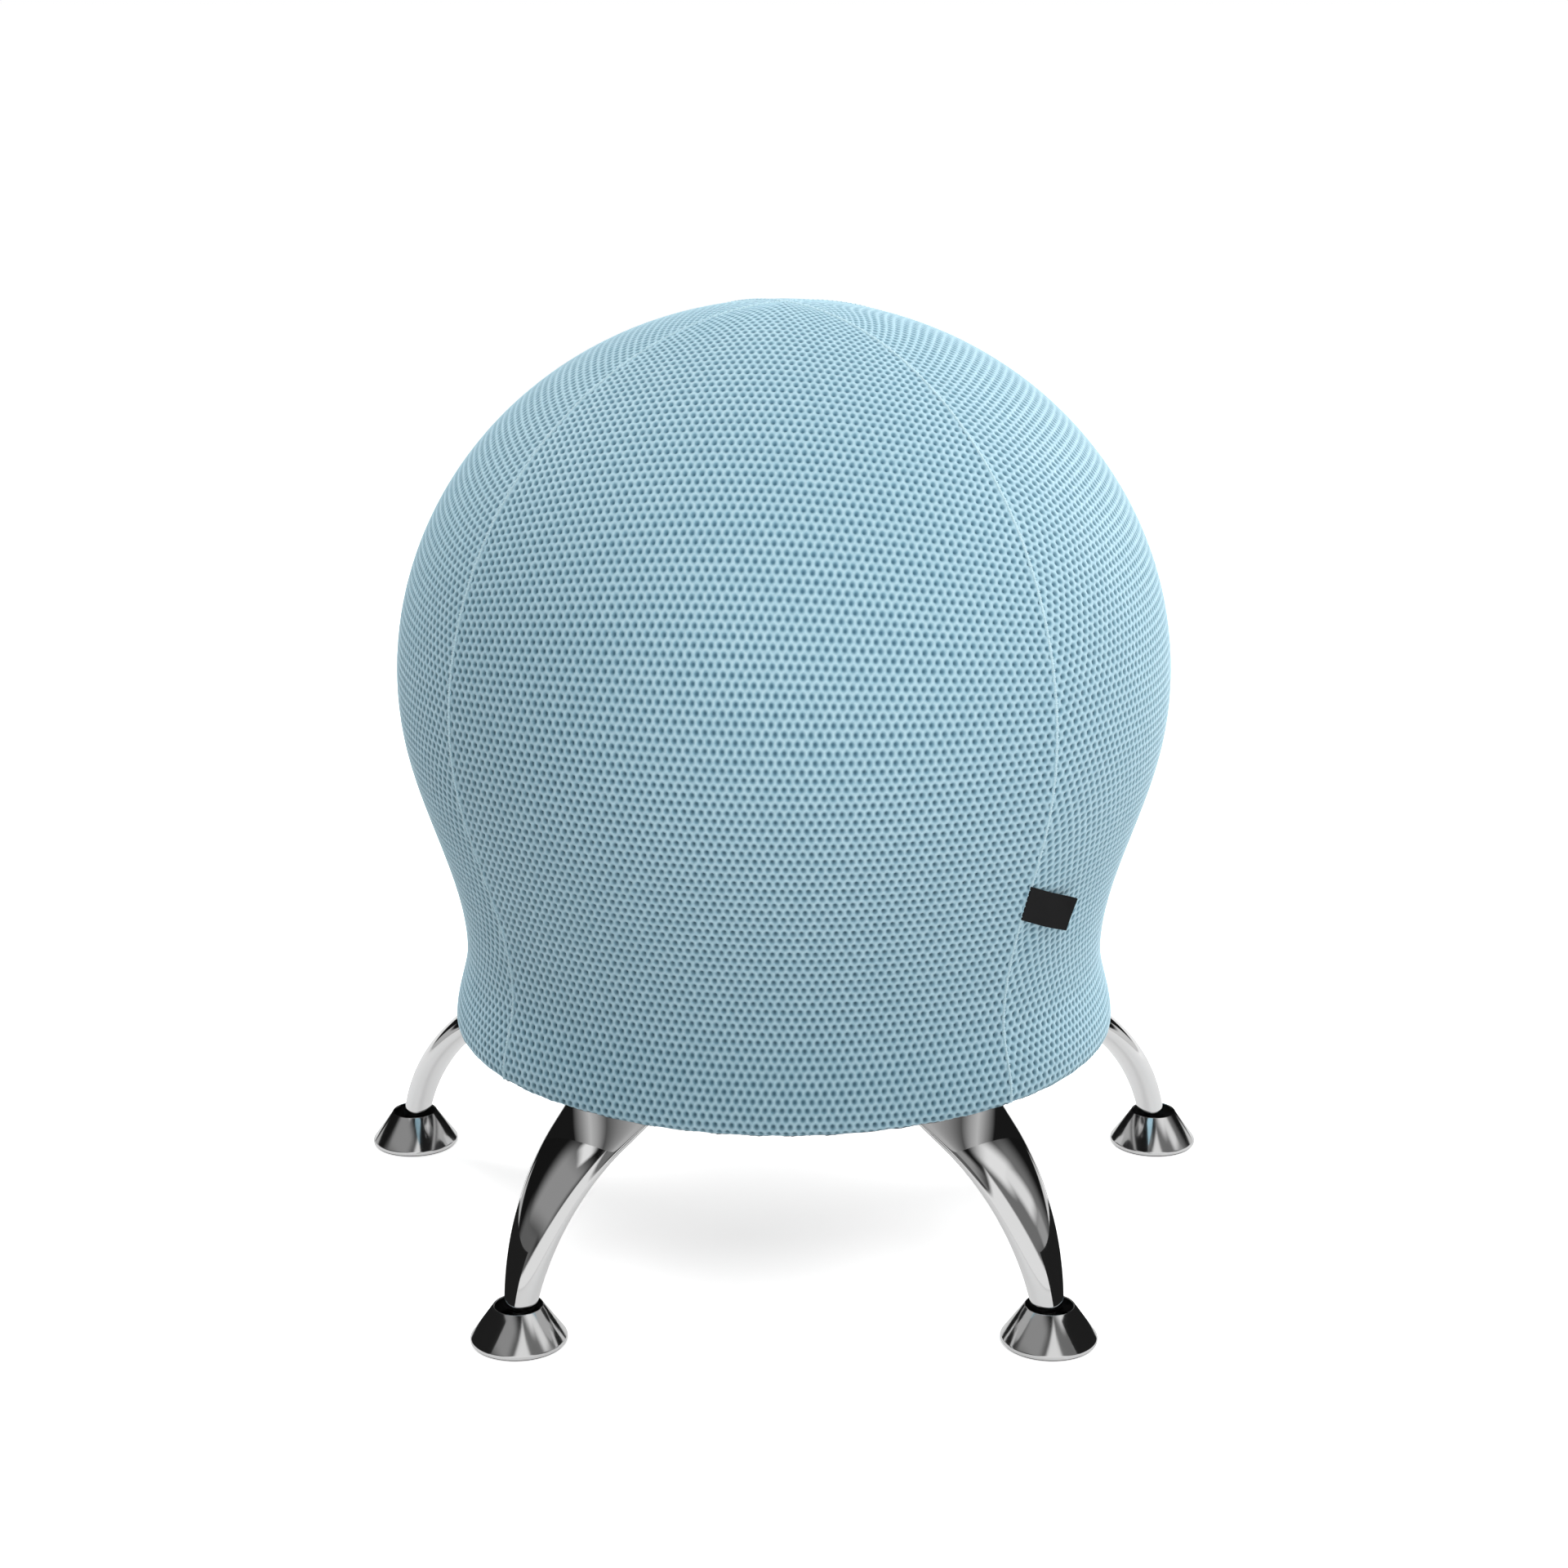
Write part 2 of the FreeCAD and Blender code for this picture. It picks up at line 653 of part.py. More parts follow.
for i, name in enumerate(places):
    spot = place_turn(i)
    shaped("leg_" + name, tube, spot)
    shaped("leg_plug_" + name, end_plug, spot)
    plate, plate_pad = padded(
        "leg_plate_" + name,
        [
            (0, 0),
            (get("plate_length"), 0),
            (get("plate_length"), get("plate_width")),
            (0, get("plate_width")),
        ],
        get("plate_thickness"),
        [(x, y) for x in hole_rows for y in hole_lines],
        get("bolt_radius") + get("bolt_clearance"),
    )
    doc.recompute()
    uprights = [
        "Edge%d" % n
        for n, edge in enumerate(plate_pad.Shape.Edges, 1)
        if isinstance(edge.Curve, Part.Line) and abs(edge.tangentAt(edge.FirstParameter).z) > 0.9
    ]
    rounding = plate.newObject("PartDesign::Fillet", "plate_rounding")
    rounding.Base = (plate_pad, uprights)
    bind(rounding, Radius=get("plate_corner"))
    corner = V(num("plate_inner_radius"), -num("plate_width") / 2, plate_low.number)
    keep(plate, "leg_plate_" + name, spot.multiply(turn(0, corner)))
    stud = turned(
        "glide_stud_" + name,
        [
            (0, 0),
            (neck_r, ball_r + root(ball_r * ball_r - neck_r * neck_r)),
            (neck_r, collar_low),
            (get("stud_collar_radius"), collar_low),
            (get("stud_collar_radius"), stud_top),
            (get("stud_shank_radius"), stud_top),
            (get("stud_shank_radius"), stud_top + get("stud_shank_length")),
            (0, stud_top + get("stud_shank_length")),
        ],
        {0: (ball_r, 1)},
    )
    keep(stud, "glide_stud_" + name, spot.multiply(FreeCAD.Placement(stud_base, stud_lean)))
    at_foot = spot.multiply(turn(0, V(foot.x, 0, 0)))
    socket = turned(
        "glide_socket_" + name,
        [
            (0, pad_top),
            (get("socket_flange_radius"), pad_top),
            (get("socket_flange_radius"), pad_top + get("socket_flange_height")),
            (get("socket_post_radius"), pad_top + get("socket_flange_height")),
            (get("socket_post_radius"), ball_z + lip),
            (mouth, ball_z + lip),
            (0, ball_z - seat_radius),
        ],
        {5: (seat_radius, -1)},
    )
    keep(socket, "glide_socket_" + name, at_foot)
    bell = turned(
        "glide_bell_" + name,
        [
            (get("bell_base_radius") - get("bell_wall"), bell_low),
            (get("bell_base_radius"), bell_low),
            (get("bell_base_radius"), bell_low + get("bell_band")),
            (get("bell_top_radius"), get("bell_height")),
            (get("bell_top_radius") - get("bell_wall"), get("bell_height")),
            (get("bell_base_radius") - get("bell_wall"), bell_low + get("bell_band")),
        ],
    )
    keep(bell, "glide_bell_" + name, at_foot)
    pad = turned(
        "glide_pad_" + name,
        [
            (0, 0),
            (get("pad_flange_radius"), 0),
            (get("pad_flange_radius"), bell_low),
            (spigot, bell_low),
            (spigot, pad_top),
            (0, pad_top),
        ],
    )
    keep(pad, "glide_pad_" + name, at_foot)

doc.recompute()
for thing in doc.Objects:
    if {"Invalid", "Error"} & set(thing.State):
        raise RuntimeError("%s failed: %s" % (thing.Label, thing.State))
for piece in parts:
    if piece.Shape.isNull() or not piece.Shape.isValid() or not piece.Shape.Solids:
        raise RuntimeError("%s has no valid solid" % piece.Label)

os.makedirs("parts", exist_ok=True)
for piece in parts:
    piece.Shape.exportStep("parts/%s.step" % piece.Label)
print("%d pieces written" % len(parts))
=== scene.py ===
import math

import bmesh
import bpy
import numpy as np
from mathutils import Matrix, Vector


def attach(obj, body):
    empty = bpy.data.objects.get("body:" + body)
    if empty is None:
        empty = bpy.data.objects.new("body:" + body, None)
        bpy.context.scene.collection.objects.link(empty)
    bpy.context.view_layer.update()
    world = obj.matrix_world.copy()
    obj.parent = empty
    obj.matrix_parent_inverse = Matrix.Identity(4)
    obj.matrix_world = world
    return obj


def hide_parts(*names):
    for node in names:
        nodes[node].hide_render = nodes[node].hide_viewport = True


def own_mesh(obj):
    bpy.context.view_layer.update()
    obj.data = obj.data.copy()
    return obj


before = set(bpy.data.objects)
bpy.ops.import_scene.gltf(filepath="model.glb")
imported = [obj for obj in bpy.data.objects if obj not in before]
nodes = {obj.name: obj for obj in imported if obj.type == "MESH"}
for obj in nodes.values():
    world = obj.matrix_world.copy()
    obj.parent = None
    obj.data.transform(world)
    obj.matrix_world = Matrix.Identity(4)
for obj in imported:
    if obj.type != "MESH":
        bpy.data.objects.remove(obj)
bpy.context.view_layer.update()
scene = bpy.context.scene
scene.view_settings.view_transform = "Standard"
print("frame loaded,", len(nodes), "nodes")


def nodeBox(*names):
    # lowest and highest corner of some of the frame's nodes
    corners = np.array([nodes[n].matrix_world @ Vector(c) for n in names for c in nodes[n].bound_box])
    return corners.min(0), corners.max(0)


# camera first, at the height and distance worked out from the photograph
cameraSet = {"place": (0.0, -1.714, 0.764), "lookDown": 16.19, "focal": 67.65}
cameraData = bpy.data.cameras.new("camera")
cameraData.lens = cameraSet["focal"]
camera = bpy.data.objects.new("camera", cameraData)
camera.location = cameraSet["place"]
camera.rotation_euler = (math.radians(90 - cameraSet["lookDown"]), 0, 0)
scene.collection.objects.link(camera)
scene.camera = camera


class Wire:
    # one output of a node; sums and products of wires add Math nodes
    def __init__(self, tree, socket):
        self.tree = tree
        self.socket = socket

    @classmethod
    def node(cls, tree, kind, settings=None, inputs=None, out=0):
        made = tree.nodes.new(kind)
        for key, value in (settings or {}).items():
            if key == "stops":
                cls.setStops(made.color_ramp.elements, value)
            else:
                setattr(made, key, value)
        for key, value in (inputs or {}).items():
            if isinstance(key, int):
                spot = made.inputs[key]
            else:
                spot = next(s for s in made.inputs if key in (s.identifier, s.name))
            if isinstance(value, Wire):
                tree.links.new(value.socket, spot)
            else:
                spot.default_value = value
        return cls(tree, made.outputs[out]) if made.outputs else made

    @staticmethod
    def setStops(elements, stops):
        while len(elements) < len(stops):
            elements.new(1.0)
        for element, (at, colour) in zip(elements, stops):
            element.position = at
            element.color = colour

    def other(self, name):
        return Wire(self.tree, self.socket.node.outputs[name])

    def sum(self, kind, *values):
        inputs = dict(enumerate(values))
        return Wire.node(self.tree, "ShaderNodeMath", {"operation": kind}, inputs)

    def __add__(self, other):
        return self.sum("ADD", self, other)

    def __radd__(self, other):
        return self.sum("ADD", other, self)

    def __sub__(self, other):
        return self.sum("SUBTRACT", self, other)

    def __rsub__(self, other):
        return self.sum("SUBTRACT", other, self)

    def __mul__(self, other):
        return self.sum("MULTIPLY", self, other)

    def __rmul__(self, other):
        return self.sum("MULTIPLY", other, self)

    def __truediv__(self, other):
        return self.sum("DIVIDE", self, other)

    def __pow__(self, other):
        return self.sum("POWER", self, other)


# finishes
def newFinish(name):
    finish = bpy.data.materials.new(name)
    finish.use_nodes = True
    finish.node_tree.nodes.clear()
    return finish, finish.node_tree


def shader(tree, inputs, normal):
    surface = Wire.node(tree, "ShaderNodeBsdfPrincipled", {}, {**inputs, "Normal": normal})
    Wire.node(tree, "ShaderNodeOutputMaterial", {}, {"Surface": surface})


def objectSpace(tree):
    return Wire.node(tree, "ShaderNodeTexCoord", out="Object")


def split(tree, vector, out="X"):
    return Wire.node(tree, "ShaderNodeSeparateXYZ", {}, {"Vector": vector}, out)


def noise(tree, scale, detail=2.0, rough=0.5):
    inputs = {"Vector": objectSpace(tree), "Scale": scale, "Detail": detail, "Roughness": rough}
    return Wire.node(tree, "ShaderNodeTexNoise", {}, inputs, "Fac")


def ramp(tree, factor, stops):
    return Wire.node(tree, "ShaderNodeValToRGB", {"stops": stops}, {"Fac": factor})


def mixColour(tree, factor, a, b, blend="MIX"):
    settings = {"data_type": "RGBA", "blend_type": blend}
    inputs = {"Factor_Float": factor, "A_Color": a, "B_Color": b}
    made = Wire.node(tree, "ShaderNodeMix", settings, inputs)
    return Wire(tree, next(s for s in made.socket.node.outputs if s.identifier == "Result_Color"))


def bump(tree, height, strength, distance):
    inputs = {"Height": height, "Strength": strength, "Distance": distance}
    return Wire.node(tree, "ShaderNodeBump", {}, inputs)


def grey(level):
    return (level, level, level, 1.0)


def rise(tree, value, low, high):
    # 0 under the low value, 1 over the high one, eased between
    inputs = {"Value": value, "From Min": low, "From Max": high}
    return Wire.node(tree, "ShaderNodeMapRange", {"interpolation_type": "SMOOTHSTEP"}, inputs)


clothSet = {
    "pitch": 0.00466,  # from hole to hole along a row
    "row": 0.00495,  # from row to row
    "holeWidth": 0.0026,
    "holeHeight": 0.0034,
    "depth": 0.0022,
    "edgeDip": 0.00025,
    "overhang": 0.62,  # how far the cells may pass the cut's edge, in pitches
    "weld": 0.00008,
    "sliver": 2e-8,  # faces of a smaller area are dropped
    # colours, and where each one sits from a hole's middle (0) past its edge (0.5) to the yarn; the hole
    # colour is the dark backing with painted shade in the hollow, the shade colour is painted shade on the
    # hole's wall, and the brightest colour is a painted highlight on the raised yarn between holes
    "stops": {"hole": 0.20, "shade": 0.42, "yarn": 0.62, "knot": 0.92},
    "hole": (0.105, 0.225, 0.300, 1.0),
    "shade": (0.225, 0.405, 0.505, 1.0),
    "yarn": (0.415, 0.645, 0.755, 1.0),
    "knot": (0.560, 0.790, 0.885, 1.0),
    # painted shade on the hem's underside, under the seat
    "hemShade": (0.012, 0.013, 0.015, 1.0),
    "hemShadeTop": 0.1211,  # painted shade: the hem's underside is painted near black up to this height
    "hemShadeEdge": 0.0006,
    # slow change of shade over the cloth, and a quick one from hole to hole
    "drift": {"scale": 9.0, "share": 0.14, "tint": (0.40, 0.58, 0.66, 1.0)},
    "speck": {"scale": 330.0, "share": 0.32, "tint": (0.55, 0.70, 0.76, 1.0), "range": (0.35, 0.65)},
    "fibre": 2600.0,
    "sheen": 0.25,
}


def coverMesh():
    finish, tree = newFinish("coverMesh")
    parts = split(tree, Wire.node(tree, "ShaderNodeUVMap", {"uv_map": "cloth"}))
    across, along = parts.sum("PINGPONG", parts, 0.5), parts.sum("PINGPONG", parts.other("Y"), 0.5)
    wide = 2 * clothSet["pitch"] / clothSet["holeWidth"]
    tall = 4 * clothSet["row"] / clothSet["holeHeight"]
    # distance from the nearest hole's middle, in the even rows and in the odd ones between them
    even = (across * wide) ** 2.0 + (along * tall) ** 2.0
    odd = ((0.5 - across) * wide) ** 2.0 + ((0.5 - along) * tall) ** 2.0
    far = even.sum("SQRT", even.sum("MINIMUM", even, odd)) / 2
    # painted shade in and round each hole and a painted highlight on the raised yarn between holes, by the
    # distance from the hole's middle
    colour = ramp(tree, far, [(at, clothSet[name]) for name, at in clothSet["stops"].items()])
    drift, speck = clothSet["drift"], clothSet["speck"]
    slow = noise(tree, drift["scale"], 3.0) * drift["share"]
    colour = mixColour(tree, slow, colour, drift["tint"], "MULTIPLY")
    quick = rise(tree, noise(tree, speck["scale"], 1.0), *speck["range"]) * speck["share"]
    colour = mixColour(tree, quick, colour, speck["tint"], "MULTIPLY")
    height = split(tree, objectSpace(tree), "Z")
    # painted shade: near black below this height on the hem's underside
    hemShadeTop = clothSet["hemShadeTop"]
    hemShaded = rise(tree, height, hemShadeTop - clothSet["hemShadeEdge"], hemShadeTop)
    colour = mixColour(tree, hemShaded, clothSet["hemShade"], colour)
    fibre = noise(tree, clothSet["fibre"], 2.0, 0.6)
    look = {
        "Base Color": colour,
        "Roughness": far * 0.06 + 0.5,
        "Sheen Weight": clothSet["sheen"],
        "Sheen Roughness": 0.45,
        "Sheen Tint": (0.85, 0.95, 1.0, 1.0),
        "Specular IOR Level": 0.45,
    }
    shader(tree, look, bump(tree, fibre, 0.35, 0.0002))
    return finish


yarnSet = {"dark": (0.48, 0.70, 0.80, 1.0), "light": (0.66, 0.87, 0.94, 1.0), "fibre": 1500.0}


def seamYarn():
    finish, tree = newFinish("seamYarn")
    fibre = noise(tree, yarnSet["fibre"])
    colour = ramp(tree, fibre, [(0.3, yarnSet["dark"]), (0.7, yarnSet["light"])])
    look = {"Base Color": colour, "Roughness": 0.8, "Sheen Weight": 0.3, "Sheen Roughness": 0.5}
    shader(tree, look, bump(tree, fibre, 0.5, 0.0003))
    return finish


def chrome(name, base, rough, smear):
    finish, tree = newFinish(name)
    film = noise(tree, 14.0, 4.0, 0.6)  # faint film from handling
    colour = mixColour(tree, film, grey(base), grey(base * 0.95))
    grain = noise(tree, 900.0)
    look = {"Base Color": colour, "Metallic": 1.0, "Roughness": rough + film * smear}
    shader(tree, look, bump(tree, grain, 0.02, 0.0001))
    return finish


def moulded(name, dark, light, grain, depth, rough, strength=0.35):
    finish, tree = newFinish(name)
    tone = noise(tree, 25.0, 3.0)
    colour = mixColour(tree, tone, dark, light)
    grainHeight = noise(tree, grain, 3.0, 0.6)
    look = {"Base Color": colour, "Roughness": rough + grainHeight * 0.16}
    shader(tree, look, bump(tree, grainHeight, strength, depth))
    return finish


weaveSet = {
    "warp": 90,  # threads along the label and across it
    "weft": 64,
    "dark": (0.003, 0.003, 0.0035, 1.0),
    "light": (0.0085, 0.008, 0.0085, 1.0),
}


def labelWeave():
    finish, tree = newFinish("labelWeave")
    parts = split(tree, Wire.node(tree, "ShaderNodeUVMap", {"uv_map": "weave"}))
    warp = parts.sum("SINE", parts * (2 * math.pi * weaveSet["warp"]))
    weft = parts.sum("SINE", parts.other("Y") * (2 * math.pi * weaveSet["weft"]))
    weave = warp * weft * 0.5 + 0.5
    colour = ramp(tree, weave, [(0.1, weaveSet["dark"]), (0.9, weaveSet["light"])])
    look = {"Base Color": colour, "Roughness": 0.8 - weave * 0.14, "Specular IOR Level": 0.2}
    shader(tree, look, bump(tree, weave, 0.5, 0.00015))
    return finish


def braid(name, dark, light):
    finish, tree = newFinish(name)
    wave = Wire.node(
        tree,
        "ShaderNodeTexWave",
        {"bands_direction": "DIAGONAL"},
        {"Vector": objectSpace(tree), "Scale": 420.0, "Distortion": 1.0},
        "Fac",
    )
    colour = mixColour(tree, wave, dark, light)
    shader(tree, {"Base Color": colour, "Roughness": 0.75}, bump(tree, wave, 0.6, 0.0003))
    return finish


finishes = {
    "coverMesh": coverMesh(),
    "seamYarn": seamYarn(),
    "legChrome": chrome("legChrome", base=0.86, rough=0.035, smear=0.05),
    "glideChrome": chrome("glideChrome", base=0.80, rough=0.09, smear=0.06),
    "studSteel": chrome("studSteel", base=0.62, rough=0.22, smear=0.12),
    "boltSteel": chrome("boltSteel", base=0.34, rough=0.28, smear=0.15),
    "insertBrass": moulded(
        "insertBrass", (0.55, 0.40, 0.16, 1), (0.62, 0.47, 0.21, 1), grain=700, depth=0.0002, rough=0.3
    ),
    "panPlastic": moulded(
        "panPlastic", (0.014, 0.014, 0.016, 1), (0.024, 0.024, 0.026, 1), grain=1400, depth=0.0004, rough=0.42
    ),
    "plateCoat": moulded(
        "plateCoat", (0.016, 0.016, 0.017, 1), (0.022, 0.022, 0.023, 1), grain=500, depth=0.0002, rough=0.34
    ),
    "glideNylon": moulded(
        "glideNylon", (0.018, 0.018, 0.019, 1), (0.032, 0.032, 0.033, 1), grain=1100, depth=0.0002, rough=0.45
    ),
    "plugNylon": moulded(
        "plugNylon", (0.022, 0.022, 0.024, 1), (0.03, 0.03, 0.032, 1), grain=1100, depth=0.0002, rough=0.45
    ),
    "valvePlastic": moulded(
        "valvePlastic",
        (0.70, 0.70, 0.68, 1),
        (0.78, 0.78, 0.76, 1),
        grain=900,
        depth=0.0001,
        rough=0.35,
        strength=0.15,
    ),
    "ballVinyl": moulded(
        "ballVinyl", (0.20, 0.30, 0.36, 1), (0.25, 0.36, 0.42, 1), grain=600, depth=0.0003, rough=0.38
    ),
    "labelWeave": labelWeave(),
    "elasticCord": braid("elasticCord", (0.03, 0.03, 0.03, 1), (0.10, 0.10, 0.10, 1)),
}
print("finishes made,", len(finishes))


def setFinish(piece, name):
    piece.data.materials.clear()
    piece.data.materials.append(finishes[name])


def newPiece(name, points, faces, finish, smooth=True):
    mesh = bpy.data.meshes.new(name)
    mesh.from_pydata([tuple(p) for p in points], [], faces)
    mesh.validate()
    if smooth:
        mesh.shade_smooth()
    piece = bpy.data.objects.new(name, mesh)
    scene.collection.objects.link(piece)
    if finish:
        setFinish(piece, finish)
    return piece


def newGraph(name, inputs):
    tree = bpy.data.node_groups.new(name, "GeometryNodeTree")
    tree.interface.new_socket("Geometry", in_out="INPUT", socket_type="NodeSocketGeometry")
    for label, kind in inputs:
        tree.interface.new_socket(label, in_out="INPUT", socket_type="NodeSocket" + kind)
    tree.interface.new_socket("Geometry", in_out="OUTPUT", socket_type="NodeSocketGeometry")
    return tree, Wire(tree, tree.nodes.new("NodeGroupInput").outputs[0])


def keepShape(piece):
    # what a piece's modifiers make becomes its own mesh
    graph = bpy.context.evaluated_depsgraph_get()
    shaped = piece.evaluated_get(graph)
    mesh = bpy.data.meshes.new_from_object(shaped, preserve_all_data_layers=True, depsgraph=graph)
    piece.modifiers.clear()
    piece.data = mesh
    return piece


def grow(piece, tree, values):
    # runs a node tree on a piece
    ids = {s.name: s.identifier for s in tree.interface.items_tree if s.in_out == "INPUT"}
    work = piece.modifiers.new(tree.name, "NODES")
    work.node_group = tree
    for label, value in values.items():
        work[ids[label]] = value
    return keepShape(piece)


def endGraph(tree, whole, finish):
    whole = Wire.node(tree, "GeometryNodeRealizeInstances", {}, {"Geometry": whole})
    whole = Wire.node(tree, "GeometryNodeSetMaterial", {}, {"Geometry": whole, "Material": finish})
    Wire.node(tree, "NodeGroupOutput", {}, {0: whole})
    return tree


def without(tree, geometry, selection, domain):
    inputs = {"Geometry": geometry, "Selection": selection}
    return Wire.node(tree, "GeometryNodeDeleteGeometry", {"domain": domain}, inputs)


def scaledBy(tree, vector, scale):
    return Wire.node(tree, "ShaderNodeVectorMath", {"operation": "SCALE"}, {0: vector, "Scale": scale})


# cover
goreNames = ("Front", "Right", "Back", "Left")
coverLow, coverHigh = nodeBox(*("cover_" + name.lower() for name in goreNames))
ballLow, ballHigh = nodeBox("ball")
panLow, panHigh = nodeBox("base_pan")
coverSet = {
    "radius": coverHigh[0],
    "middle": 0.3382,  # height of the widest circle
    "top": coverHigh[2],
    "below": 0.2132,  # half height of the oval under the widest circle
    "leave": 12.4,  # degrees under the widest circle at which the waist's curve leaves the oval
    "waist": (0.1935, 0.1699),  # radius and height
    "turn": 0.0044,  # radius of the turn round the rim
    "rim": panHigh[0] - 0.001,
    "rimHeight": panLow[2] + 0.001,
    "hem": 0.190,
    "hemBead": 0.0031,
    "widen": 0.11,  # how much wider the holes are pulled towards the seams
    "rowLift": (0.010, 0.034),  # how far the rows of holes sag towards the seams, low down and added above
    "liftStart": -0.03,  # from the widest circle up to where the added sag starts, and the run to its end
    "liftRun": 0.17,
    "rowStretch": (0.97, 1.045),  # cut length for a length of the cover, above and under its middle
    "firstSeam": -54.0,  # degrees from the front, to the right
    "goreTurns": {"Front": 94.0, "Right": 266 / 3, "Back": 266 / 3, "Left": 266 / 3},
    "points": {"crown": 260, "upper": 120, "lower": 60, "turn": 16, "run": 8, "bead": 30},
    "steps": 190,
    "columns": 56,
    "bareSteps": 6,  # steps at the hem's inside that the seams leave bare
    "lowSteps": 30,  # steps at the lower end that a search by height leaves out
}


def hermite(a, b, wayA, wayB, count):
    t = np.linspace(0, 1, count)[1:, None]
    reach = np.linalg.norm(b - a)
    blendA, blendB = 2 * t**3 - 3 * t**2 + 1, 3 * t**2 - 2 * t**3
    return blendA * a + (t**3 - 2 * t**2 + t) * wayA * reach + blendB * b + (t**3 - t**2) * wayB * reach


def roundArc(centre, radius, start, stop, count):
    a = np.radians(np.linspace(start, stop, count))[1:]
    return np.c_[centre[0] + radius * np.cos(a), centre[1] + radius * np.sin(a)]


def coverSection():
    # half section of the cover's face, from the crown to the inside of the hem, evenly spaced
    lean, points = math.radians(coverSet["leave"]), coverSet["points"]
    a = np.linspace(math.pi / 2, -lean, points["crown"])
    tall = np.where(a > 0, coverSet["top"] - coverSet["middle"], coverSet["below"])
    crown = np.c_[coverSet["radius"] * np.cos(a), coverSet["middle"] + tall * np.sin(a)]
    wayOff = np.array([-coverSet["radius"] * math.sin(lean), -coverSet["below"] * math.cos(lean)])
    down = np.array([0.0, -1.0])
    turnCentre = (coverSet["rim"], coverSet["rimHeight"])
    hemCentre = (coverSet["hem"], coverLow[2] + coverSet["hemBead"])
    waist = np.array(coverSet["waist"])
    edge = np.array([coverSet["rim"] + coverSet["turn"], coverSet["rimHeight"]])
    upper = hermite(crown[-1], waist, wayOff / np.linalg.norm(wayOff), down, points["upper"])
    lower = hermite(waist, edge, down, down, points["lower"])
    under = roundArc(turnCentre, coverSet["turn"], 0, -90, points["turn"])
    bead = roundArc(hemCentre, coverSet["hemBead"], -10, -205, points["bead"])
    run = np.linspace(under[-1], bead[0], points["run"])[1:-1]
    line = np.vstack([crown, upper, lower, under, run, bead])
    length = np.r_[0, np.cumsum(np.linalg.norm(np.diff(line, axis=0), axis=1))]
    s = np.linspace(0, length[-1], coverSet["steps"])
    return s, np.interp(s, length, line[:, 0]), np.interp(s, length, line[:, 1])


sectionLength, sectionRadius, sectionHeight = coverSection()
equator = np.interp(0, sectionHeight[::-1] - coverSet["middle"], sectionLength[::-1])
flareRun = np.interp(-coverSet["rimHeight"], -sectionHeight, sectionLength)

labelSet = {
    "turn": 40.0,  # degrees from the front, to the right, as the seam that holds it
    "height": 0.244,
    "length": 0.0385,
    "width": 0.0225,
    "droop": 21.5,
    "gap": 0.0004,  # from the cloth to the root
    "lift": 0.0035,  # of the free end
    "curl": 1.6,
    "wave": 0.0007,
    "waveTurns": (5.2, 1.8),
    "tuck": 0.02,  # share of the length that is sewn in, and by which the upper edge is longer
    "sag": 0.0006,
    "thick": 0.0009,
    "edge": 0.00025,
}
# gathers under the rim, as waves of a height, a count round the stool and a shift
gatherSet = {"depth": 0.0012, "onset": 2.2, "middle": 0.55, "waves": ((0.30, 58, 0.0), (0.15, 93, 1.3))}
# soft crease where the label pulls on the cloth, placed from the label
creaseSet = {"turn": 2.6, "below": 0.026, "wide": 0.0034, "tall": 0.014, "depth": 0.0024}


def coverPoint(turn, s):
    # a point of the cover: turn in radians from the front, to the right, and the length along the section
    r = np.interp(s, sectionLength, sectionRadius)
    z = np.interp(s, sectionLength, sectionHeight)
    slopeR = np.gradient(sectionRadius, sectionLength)
    slopeZ = np.gradient(sectionHeight, sectionLength)
    outR = -np.interp(s, sectionLength, slopeZ)
    outZ = np.interp(s, sectionLength, slopeR)
    norm = np.hypot(outR, outZ)
    outR, outZ = outR / norm, outZ / norm
    under = np.clip((s - flareRun) / (sectionLength[-1] - flareRun), 0, 1)
    wave = gatherSet["middle"]
    for size, count, shift in gatherSet["waves"]:
        wave = wave + size * np.sin(count * turn + shift)
    lift = gatherSet["depth"] * np.clip(under * gatherSet["onset"], 0, 1) * np.clip(wave, 0, 1)
    side = (turn - math.radians(labelSet["turn"] + creaseSet["turn"])) * r / creaseSet["wide"]
    fall = (z - (labelSet["height"] - creaseSet["below"])) / creaseSet["tall"]
    lift = lift - creaseSet["depth"] * np.exp(-(side**2) - fall**2)
    r, z = r + lift * outR, z + lift * outZ
    place = np.stack([r * np.sin(turn), -r * np.cos(turn), z], -1)
    facing = np.stack([outR * np.sin(turn), -outR * np.cos(turn), outZ], -1)
    return place, facing


def meshCell(pitch, row, holeWidth, holeHeight):
    # one cell of the cloth: six yarn corners, the hole's edge and its bottom
    side = row / 2 - pitch**2 / (8 * row)
    tip = row / 2 + pitch**2 / (8 * row)
    half = pitch / 2
    corners = [(half, side), (0, tip), (-half, side), (-half, -side), (0, -tip), (half, -side)]
    points = [(x, y, 0) for x, y in corners]
    points += [(x / pitch * holeWidth, y / (2 * tip) * holeHeight, 0) for x, y in corners]
    points.append((0, 0, 0))
    faces = [(i, (i + 1) % 6, 6 + (i + 1) % 6, 6 + i) for i in range(6)]
    faces += [(6 + i, 6 + (i + 1) % 6, 12) for i in range(6)]
    cell = newPiece("meshCell", points, faces, None)
    sink = cell.data.attributes.new("sink", "FLOAT", "POINT")
    sink.data.foreach_set("value", [0.0] * 6 + [clothSet["edgeDip"]] * 6 + [clothSet["depth"]])
    return cell


